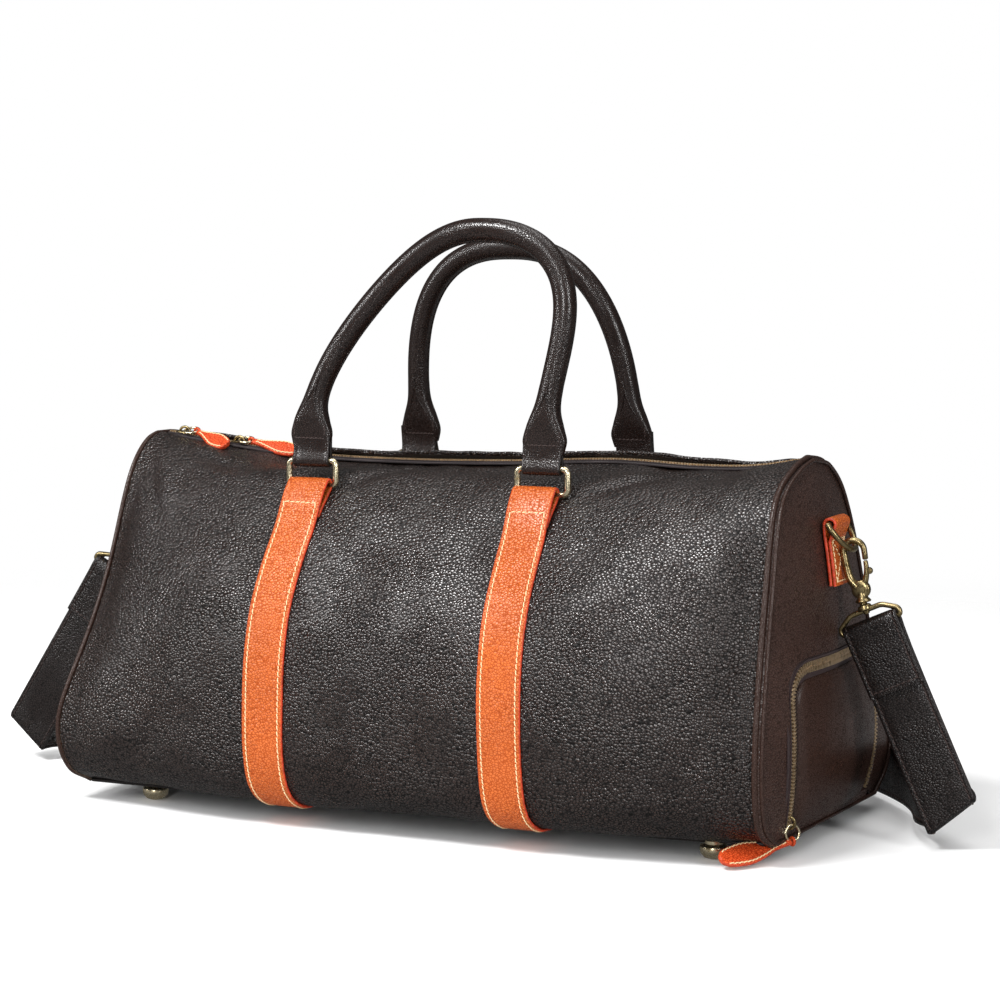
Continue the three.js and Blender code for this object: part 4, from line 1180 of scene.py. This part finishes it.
def grip_seams(track):
    """The seam inside the handle's arch, and the edges of the leather where it opens towards its ends."""
    inside = -1 if track.at([track.length / 2])[3][0][2] > 0 else 1
    s = np.linspace(46, track.length - 46, 130)
    p, _, _, up = track.at(s)
    seams = [tube(p + up * inside * (HANDLE_R - 0.15), 0.8, sides=8)]
    run = np.linspace(8, 48, 26)
    wide, thin = grip_size(run)
    for start, step in ((0, 1), (track.length, -1)):
        p, _, across, up = track.at(start + step * run)
        for face in (-1, 1):
            for aside in (-1, 1):
                lean = aside * (wide - 1.0) * (1 - ease((run - 6) / 42))
                rise = thin * np.sqrt(np.clip(1 - (lean / wide) ** 2, 0.05, 1)) - 0.1
                seams.append(tube(p + up * lean[:, None] + across * (face * rise)[:, None], 0.85, sides=8))
    return seams


def end_stitches(track):
    """Stitches across and beside the flat ends of the grip, on both faces."""
    rows = []
    for start, step in ((0, 1), (track.length, -1)):
        for face in (-1, 1):
            for line in ([(6, -11), (6, 11)], [(8, -11.4), (15, -11.6)], [(8, 11.4), (15, 11.6)]):
                at = np.array(line, float)
                run = np.linspace(0, 1, 9)[:, None]
                along = at[0] + (at[1] - at[0]) * run
                wide, thin = grip_size(along[:, 0])
                p, _, across, up = track.at(start + step * along[:, 0])
                rise = thin * (1 - np.abs(along[:, 1] / wide) ** 3.6) ** (1 / 3.6)
                path = p + up * along[:, 1:] + across * (face * rise)[:, None]
                seam = Track(path, np.cross(np.gradient(path, axis=0), across * face))
                rows += sew(seam, 0.1, (0, 0), (seam.length, 0), pitch=3.3)
    return rows


def flex_at_rings(obj, matrix):
    """Weights that would keep the leather round the rings with them and swing the rest with the handle,
    handed to weigh, which only bakes the piece's transform.
    """
    back = np.array(matrix.inverted())
    height = vertex_array(obj) @ back[2, :3] + back[2, 3]
    weigh(obj, ease((height - 4) / 26))


def handles():
    """Both handles stand on their rings and tip in towards the zip."""
    for side, sign in SIGN.items():
        y, z = ring_bar(side)
        spec = HANDLES[side]
        tilt = sign * math.asin(spec["tip"] / (spec["height"] + LOOP_STEM))
        matrix = Matrix.Translation((RING_ASIDE, y, z + RING_DROP)) @ Matrix.Rotation(tilt, 4, "X")
        track = Track(arch_centre(spec), (0, 1, 0))
        parts = [placed(part, matrix) for part in (rolled_handle(track), *grip_seams(track))]
        covered = [f"{side}_handle_cover", f"{side}_handle_core"]
        grip = piece(f"{side}_handle_leather", parts, [HANDLE], None, covered)
        rows = [placed(row, matrix) for row in end_stitches(track)]
        made = [grip, piece(f"{side}_handle_stitching", rows, [DARK_THREAD], None)]
        for hand_name, hand in HANDS.items():
            loop = handle_loop(hand * RING_X)
            name = f"{side}_handle_loop_{hand_name}"
            part = placed(strip(loop, STRAP_W - 3, 2.4, pitch=1.0), matrix)
            made.append(piece(f"{name}_leather", [part], [HANDLE, BROWN_EDGE], None, [name]))
        for obj in made:
            flex_at_rings(obj, matrix)


# ---------- end hardware ----------
ALONG_Y = Matrix.Rotation(math.pi / 2, 4, "X")  # lays a turned shape along Y


def end_matrix(name):
    return Matrix.Rotation(math.pi if name == "left" else 0, 4, "Z")


def ring_x(name):
    """Distance of the D ring's bar from the middle of the bag."""
    return OUTER_X + float(dome(ENDS[name], 0, D_BAR_Z)) + D_BAR_OFF


def hang_matrix(name):
    """Frame of the snap hook: its origin is where it hangs in the D ring."""
    x = ring_x(name) + D_LENGTH * math.sin(D_TILT)
    place = Matrix.Translation((x, 0, D_BAR_Z - D_LENGTH * math.cos(D_TILT)))
    return end_matrix(name) @ place @ Matrix.Rotation(-HOOK_TILT[name], 4, "Y")


def web_matrix(name):
    """The hook's frame turned about its swivel, as the strap pulls it."""
    swivel = Matrix.Translation((0, 0, SWIVEL_Z))
    turn = Matrix.Rotation(HOOK_TILT[name] - WEB_TILT[name], 4, "Y")
    return hang_matrix(name) @ swivel @ turn @ swivel.inverted()


def end_tab_track(name):
    """Up the end, over the bar of the D ring and down again over itself."""
    def face(z):
        return OUTER_X + dome(ENDS[name], np.zeros(len(z)), np.asarray(z, float))
    lay = 0.6 + STRAP_T / 2
    wrap = D_WIRE_R + EYE_GAP + STRAP_T / 2
    rise_z = np.linspace(TAB_FOOT_Z, D_BAR_Z - 7, 12)
    rise = np.column_stack([face(rise_z) + lay, rise_z])
    w = np.linspace(math.pi, 0, 16)
    turn = np.column_stack([ring_x(name) + wrap * np.cos(w), D_BAR_Z + wrap * np.sin(w)])
    fall_z = np.linspace(D_BAR_Z - 11, TAB_FOOT_Z, 12)
    fall = np.column_stack([face(fall_z) + lay + STRAP_T + 0.4, fall_z])
    xz = np.vstack([rise, turn, fall])
    return Track(np.column_stack([xz[:, 0], 0 * xz[:, 0], xz[:, 1]]), (0, 1, 0))


def end_tab(name):
    """Orange tab sewn to the end with a crossed box of stitches."""
    track = end_tab_track(name)
    start, end = track.length - 30, track.length - 2.6
    aside = STRAP_W / 2 - 2.8
    side = 1 if track.at([end])[3][0][0] > 0 else -1
    lift = side * (STRAP_T / 2 - 0.05)
    rows = sew(track, lift, (start, -aside), (end, -aside), (end, aside), (start, aside), (start, -aside))
    rows += sew(track, lift, (start, -aside), (end, aside)) + sew(track, lift, (start, aside), (end, -aside))
    matrix = end_matrix(name)
    tab = placed(strip(track, STRAP_W, STRAP_T, pitch=1.2), matrix)
    stem = f"{name}_end_tab"
    piece(f"{stem}_leather", [tab], [ORANGE, ORANGE_EDGE], "root", [stem])
    piece(f"{stem}_stitching", [placed(row, matrix) for row in rows], [CREAM], "root")


def d_ring(name):
    """D ring with its straight bar in the tab and its bow hanging out from the end."""
    w = np.linspace(math.pi, 2 * math.pi, 26)
    arc = np.column_stack([0 * w, D_RADIUS * np.cos(w), D_LENGTH * np.sin(w)])
    bar = np.column_stack([np.zeros(5), np.linspace(0.72, -0.72, 5) * D_RADIUS, np.zeros(5)])
    bar_place = Matrix.Translation((ring_x(name), 0, D_BAR_Z))
    matrix = end_matrix(name) @ bar_place @ Matrix.Rotation(-D_TILT, 4, "Y")
    ring = placed(tube(np.vstack([arc, bar]), D_WIRE_R, closed=True, sides=14), matrix)
    piece(f"{name}_d_ring_wire", [ring], [ANTIQUE], f"{name}_d_ring", [f"{name}_d_ring"])


def hook_body(name):
    """Snap hook with a round riveted boss."""
    matrix = hang_matrix(name)
    w = np.linspace(math.pi, -0.1, 18)
    crown = np.column_stack([6.8 * np.cos(w), 0 * w, -1 + 6.8 * np.sin(w)])
    shank = curve([(-1.6, 0, -25), (-5.6, 0, -19), (-6.8, 0, -9), (-6.8, 0, -2)], 14)
    path = np.vstack([shank, crown, [(6.7, 0, -4), (6.5, 0, -7)]])
    radii = np.interp(np.linspace(0, 1, len(path)), [0, 0.3, 0.8, 1], [3.0, 2.5, 2.1, 1.9])
    back = [(0.4, -2.5), (5.2, -2.4), (6, -1.7)]
    rivet = [(6, 1.7), (5.2, 2.4), (3.2, 2.5), (2.9, 3.1), (0.4, 3.3)]
    boss = lathe(back + rivet, Matrix.Translation((0, 0, -26)) @ ALONG_Y, 26)
    collar = lathe([(2.0, -34.6), (4.6, -34.4), (5.2, -33.6), (4.4, -32.4), (3.6, -31.6), (3.2, -28)])
    parts = [placed(part, matrix) for part in (tube(path, radii), boss, collar)]
    stem = f"{name}_snap_hook"
    piece(f"{stem}_body", parts, [ANTIQUE], stem, [stem])


def hook_gate(name):
    matrix = hang_matrix(name)
    path = curve([(6.3, 0, -8.6), (6.1, 0, -13), (5.0, 0, -18), (3.4, 0, -22)], 14)
    lever = tube(path, np.linspace(1.5, 2.1, 14))
    thumb = [(0.4, -1.6), (1.9, -1.4), (2.3, 0), (1.9, 1.4), (0.4, 1.6)]
    thumb = lathe(thumb, Matrix.Translation((7.8, 0, -15)) @ ALONG_Y, 16)
    stem = f"{name}_hook_gate"
    parts = [placed(lever, matrix), placed(thumb, matrix)]
    piece(f"{stem}_lever", parts, [ANTIQUE], stem, [stem])


def swivel_frame(name):
    """The stud that turns in the hook's collar and the wire frame that holds the strap."""
    matrix = web_matrix(name)
    stud = lathe([(1.9, -42), (2.4, -40), (4.6, -39.2), (4.8, -37.8), (4.2, -36.4), (2.4, -35.6), (1.9, -33)])
    right = [(20.6, FRAME_Z), (20.9, FRAME_Z + 4.5), (11, FRAME_Z + 10.4)]
    left = [(-x, z) for x, z in right[::-1]]
    loop = round_corners([left[-1], *right, *left[:-1]], 2.4)
    wire = tube(np.column_stack([loop[:, 0], 0 * loop[:, 0], loop[:, 1]]), WIRE_R, closed=True)
    parts = [placed(stud, matrix), placed(wire, matrix)]
    stem = f"{name}_swivel_frame"
    piece(f"{stem}_wire", parts, [ANTIQUE], frame["nodes"][stem]["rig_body"], [stem])


def round_corners(corners, radius, steps=6):
    """A closed outline with each corner replaced by a short curve."""
    corners = np.asarray(corners, float)
    found = []
    for k, corner in enumerate(corners):
        before = corner + unit(corners[k - 1] - corner) * radius
        after = corner + unit(corners[(k + 1) % len(corners)] - corner) * radius
        t = np.linspace(0, 1, steps)[:, None]
        found.append((1 - t) ** 2 * before + 2 * t * (1 - t) * corner + t**2 * after)
    return np.vstack(found)


def shoulder_side(name):
    """One half of the shoulder strap, from its folded end at the hook to the middle of the slack."""
    matrix = np.array(web_matrix(name))
    wrap = WIRE_R + EYE_GAP + WEB_T / 2
    w = np.linspace(math.pi, 0, 12)
    front = [(-3.1, -44), (-3.1, -26), (-3.3, -8)]
    turn = np.column_stack([wrap * np.cos(w), wrap * np.sin(w)])
    back = [(2.0, -8), (0.4, -22), (0, -50), (0, -80), (0, SWIVEL_Z - FRAME_Z - WEB_DROP[name])]
    yz = np.vstack([front, turn, back]) + [0, FRAME_Z]
    if name == "left":
        yz = yz * [-1, 1]
    local = np.column_stack([np.zeros(len(yz)), yz])
    drop = resample(local @ matrix[:3, :3].T + matrix[:3, 3], 60)
    sign = ENDS[name]
    hang_across = matrix[:3, 0]
    tip_across = np.array([sign * math.cos(TIP_TURN), 0, math.sin(TIP_TURN)])
    tip = drop[-1]
    near = [tip + (-sign * 0.6, 4, 0.5), tip + (-sign * 7, 20, 1)]
    slack = [(sign * 304, 60, SLACK_Z), (sign * 274, 112, SLACK_Z), (sign * 226, 160, SLACK_Z)]
    slack += [(sign * 150, SLACK_Y, SLACK_Z), (sign * 70, SLACK_Y, SLACK_Z), (0, SLACK_Y, SLACK_Z)]
    rest = curve([drop[-3], tip, *near, *slack], 300)[6:]
    points = resample(np.vstack([drop, rest]), 460)
    length, fold = Track(points, UP).length, Track(drop, UP).length
    far = np.linspace(0, length, 460)
    lean = ease((far - fold + 95) / 90)[:, None]
    stand = ease((far - fold - 16) / 90)[:, None]
    across = (hang_across * (1 - lean) + tip_across * lean) * (1 - stand) + UP * stand
    return Track(points, unit(across), square=False), fold


def shoulder_strap():
    """Each half is one ribbon that bends from its end at the hook to the long strap behind the bag."""
    for name in ENDS:
        track, fold = shoulder_side(name)
        stem = f"{name}_shoulder_ribbon"
        band = strip(track, WEB_W, WEB_T, pitch=2.6)
        replaced = [f"{name}_strap_drop"] + (["shoulder_strap_back"] if name == "right" else [])
        ribbon = piece(stem, [band], [WEB, BROWN_EDGE], None, replaced)
        aside = WEB_W / 2 - 3
        lift = WEB_T / 2 - 0.05
        rows = []
        for face in (lift, -lift):
            for a in (-aside, aside):
                rows += sew(track, face, (2, a), (track.length - 2, a))
            rows += sew(track, face, (3, -aside), (3, aside))
        sewing = piece(f"{stem}_stitching", rows, [DARK_THREAD], None)
        for obj in (ribbon, sewing):
            near = nearest_distance(track, vertex_array(obj))
            weigh(obj, 1 - ease((near - fold + 30) / 300))


def nearest_distance(track, points):
    """Distance along the track of the track point nearest to each point."""
    spots = track.points[::2]
    far = track.far[::2]
    found = np.empty(len(points))
    for start in range(0, len(points), 4000):
        block = points[start:start + 4000]
        found[start:start + 4000] = far[((block[:, None] - spots[None]) ** 2).sum(-1).argmin(1)]
    return found


def adjuster():
    """Slide of two wire frames and a bar, round the slack of the strap behind the bag."""
    loop = corner_loop(WEB_W + 5, 11, 3)
    path = np.column_stack([np.zeros(len(loop)), loop[:, 1] + SLACK_Y, loop[:, 0] + SLACK_Z])
    frames = [tube(path + [x, 0, 0], 1.6, closed=True) for x in (-4, 4)]
    bar = tube([(0, SLACK_Y + 3.4, z) for z in np.linspace(SLACK_Z - 21, SLACK_Z + 21, 6)], 1.4)
    piece("strap_adjuster_frame", [*frames, bar], [GOLD], "strap_adjuster", ["strap_adjuster"])


def feet():
    """Domed metal studs under the base, where the CAD feet are."""
    dome_side = [(0.1, 0), (3.6, 0.15), (6.4, 1.2), (8.3, 3.1), (9, 5.4), (9, 7.6), (8.6, 8.6)]
    neck = [(7, 9.2), (6.2, 9.8), (6.2, 11.8), (0.1, 11.9)]
    for name in ("front_left", "front_right", "rear_left", "rear_right", "middle"):
        low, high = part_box(f"foot_{name}")
        middle = (low + high) / 2 / MM
        part = lathe(dome_side + neck, Matrix.Translation((middle.x, middle.y, 0)), 32)
        piece(f"foot_{name}_stud", [part], [GOLD], "root", [f"foot_{name}"])


# ---------- set ----------
LAMPS = [  # name, place and size in metres, power
    ("key", (-0.5, -1.3, 1.9), (0.7, 0.45), 50),
    ("top", (0.3, 0.4, 2.0), (1.6, 1.0), 15),
    ("side", (1.9, -0.9, 0.8), (0.25, 1.2), 16),
    ("near_strip", (0.45, -2.3, 0.9), (0.16, 1.3), 22),
    ("far_strip", (-1.7, -1.3, 1.0), (0.2, 1.1), 22),
]


def background():
    """White to the camera, dim to the surfaces that it lights and dimmer in their reflections."""
    world = bpy.data.worlds.new("studio")
    bpy.context.scene.world = world
    world.use_nodes = True
    nodes, links = world.node_tree.nodes, world.node_tree.links
    seen, glow = nodes.new("ShaderNodeBackground"), nodes["Background"]
    for node in (seen, glow):
        node.inputs["Color"].default_value = (1, 1, 1, 1)
    seen.inputs["Strength"].default_value = 1.0
    rays = nodes.new("ShaderNodeLightPath")
    softer = nodes.new("ShaderNodeMapRange")
    softer.inputs["To Min"].default_value = 0.45
    softer.inputs["To Max"].default_value = 0.10
    links.new(rays.outputs["Is Glossy Ray"], softer.inputs["Value"])
    links.new(softer.outputs["Result"], glow.inputs["Strength"])
    mix = nodes.new("ShaderNodeMixShader")
    for slot, output in enumerate((rays.outputs["Is Camera Ray"], glow.outputs[0], seen.outputs[0])):
        links.new(output, mix.inputs[slot])
    links.new(mix.outputs[0], nodes["World Output"].inputs["Surface"])


def floor():
    """A white floor that fades out in the distance and hardly shows in reflections."""
    mesh = bpy.data.meshes.new("floor")
    size = 3.0
    corners = [(-size, -size, 0), (size, -size, 0), (size, size, 0), (-size, size, 0)]
    mesh.from_pydata(corners, [], [(0, 1, 2, 3)])
    obj = bpy.data.objects.new("floor", mesh)
    bpy.context.scene.collection.objects.link(obj)
    s = Shader("floor_white")
    s.set(Base_Color=(0.93, 0.93, 0.93, 1), Roughness=0.6, Specular_IOR_Level=0.15)
    clear = s.add("ShaderNodeBsdfTransparent")
    far = s.add("ShaderNodeVectorMath", {0: s.place}, operation="LENGTH").outputs["Value"]
    glossy = s.add("ShaderNodeLightPath").outputs["Is Glossy Ray"]
    unseen = s.math("MAXIMUM", s.ramp(far, 0.5, 1.5), s.math("MULTIPLY", glossy, 0.85))
    fade = s.add("ShaderNodeMixShader", {0: unseen, 1: s.surface.outputs[0], 2: clear.outputs[0]})
    s.put(s.tree.nodes["Material Output"].inputs["Surface"], fade.outputs[0])
    mesh.materials.append(s.material)


def lamps():
    """Area lights that look at the middle of the bag."""
    for name, place, sizes, power in LAMPS:
        light = bpy.data.lights.new(name, "AREA")
        light.shape = "RECTANGLE"
        light.size, light.size_y = sizes
        light.energy = power
        lamp = bpy.data.objects.new(name, light)
        lamp.location = place
        lamp.rotation_euler = (Vector((0, 0, 0.16)) - Vector(place)).to_track_quat("-Z", "Y").to_euler()
        bpy.context.scene.collection.objects.link(lamp)


CAMERA = {"azimuth": 25, "elevation": 5.3, "distance": 1.67, "lens": 88.4, "target": (0.0232, 0, 0.2125)}


def camera():
    """The view of the photo, with a long lens."""
    data = bpy.data.cameras.new("camera")
    data.sensor_width = 36
    data.lens = CAMERA["lens"]
    eye = bpy.data.objects.new("camera", data)
    turn, rise = math.radians(CAMERA["azimuth"]), math.radians(CAMERA["elevation"])
    away = Vector((math.sin(turn) * math.cos(rise), -math.cos(turn) * math.cos(rise), math.sin(rise)))
    eye.location = Vector(CAMERA["target"]) + away * CAMERA["distance"]
    eye.rotation_euler = (-away).to_track_quat("-Z", "Y").to_euler()
    bpy.context.scene.collection.objects.link(eye)
    bpy.context.scene.camera = eye


walls()
base()
ends()
pipings()
top_zip()
top_sliders()
shoe_zip()
shoe_flap()
shoe_slider()
straps()
rings()
handles()
for end_name in ENDS:
    end_tab(end_name)
    d_ring(end_name)
    hook_body(end_name)
    hook_gate(end_name)
    swivel_frame(end_name)
shoulder_strap()
adjuster()
feet()
stiffener = frame["nodes"]["base_stiffener"].data.materials
stiffener.clear()
stiffener.append(BOARD)
background()
floor()
lamps()
bpy.context.scene.view_settings.view_transform = "Standard"
camera()
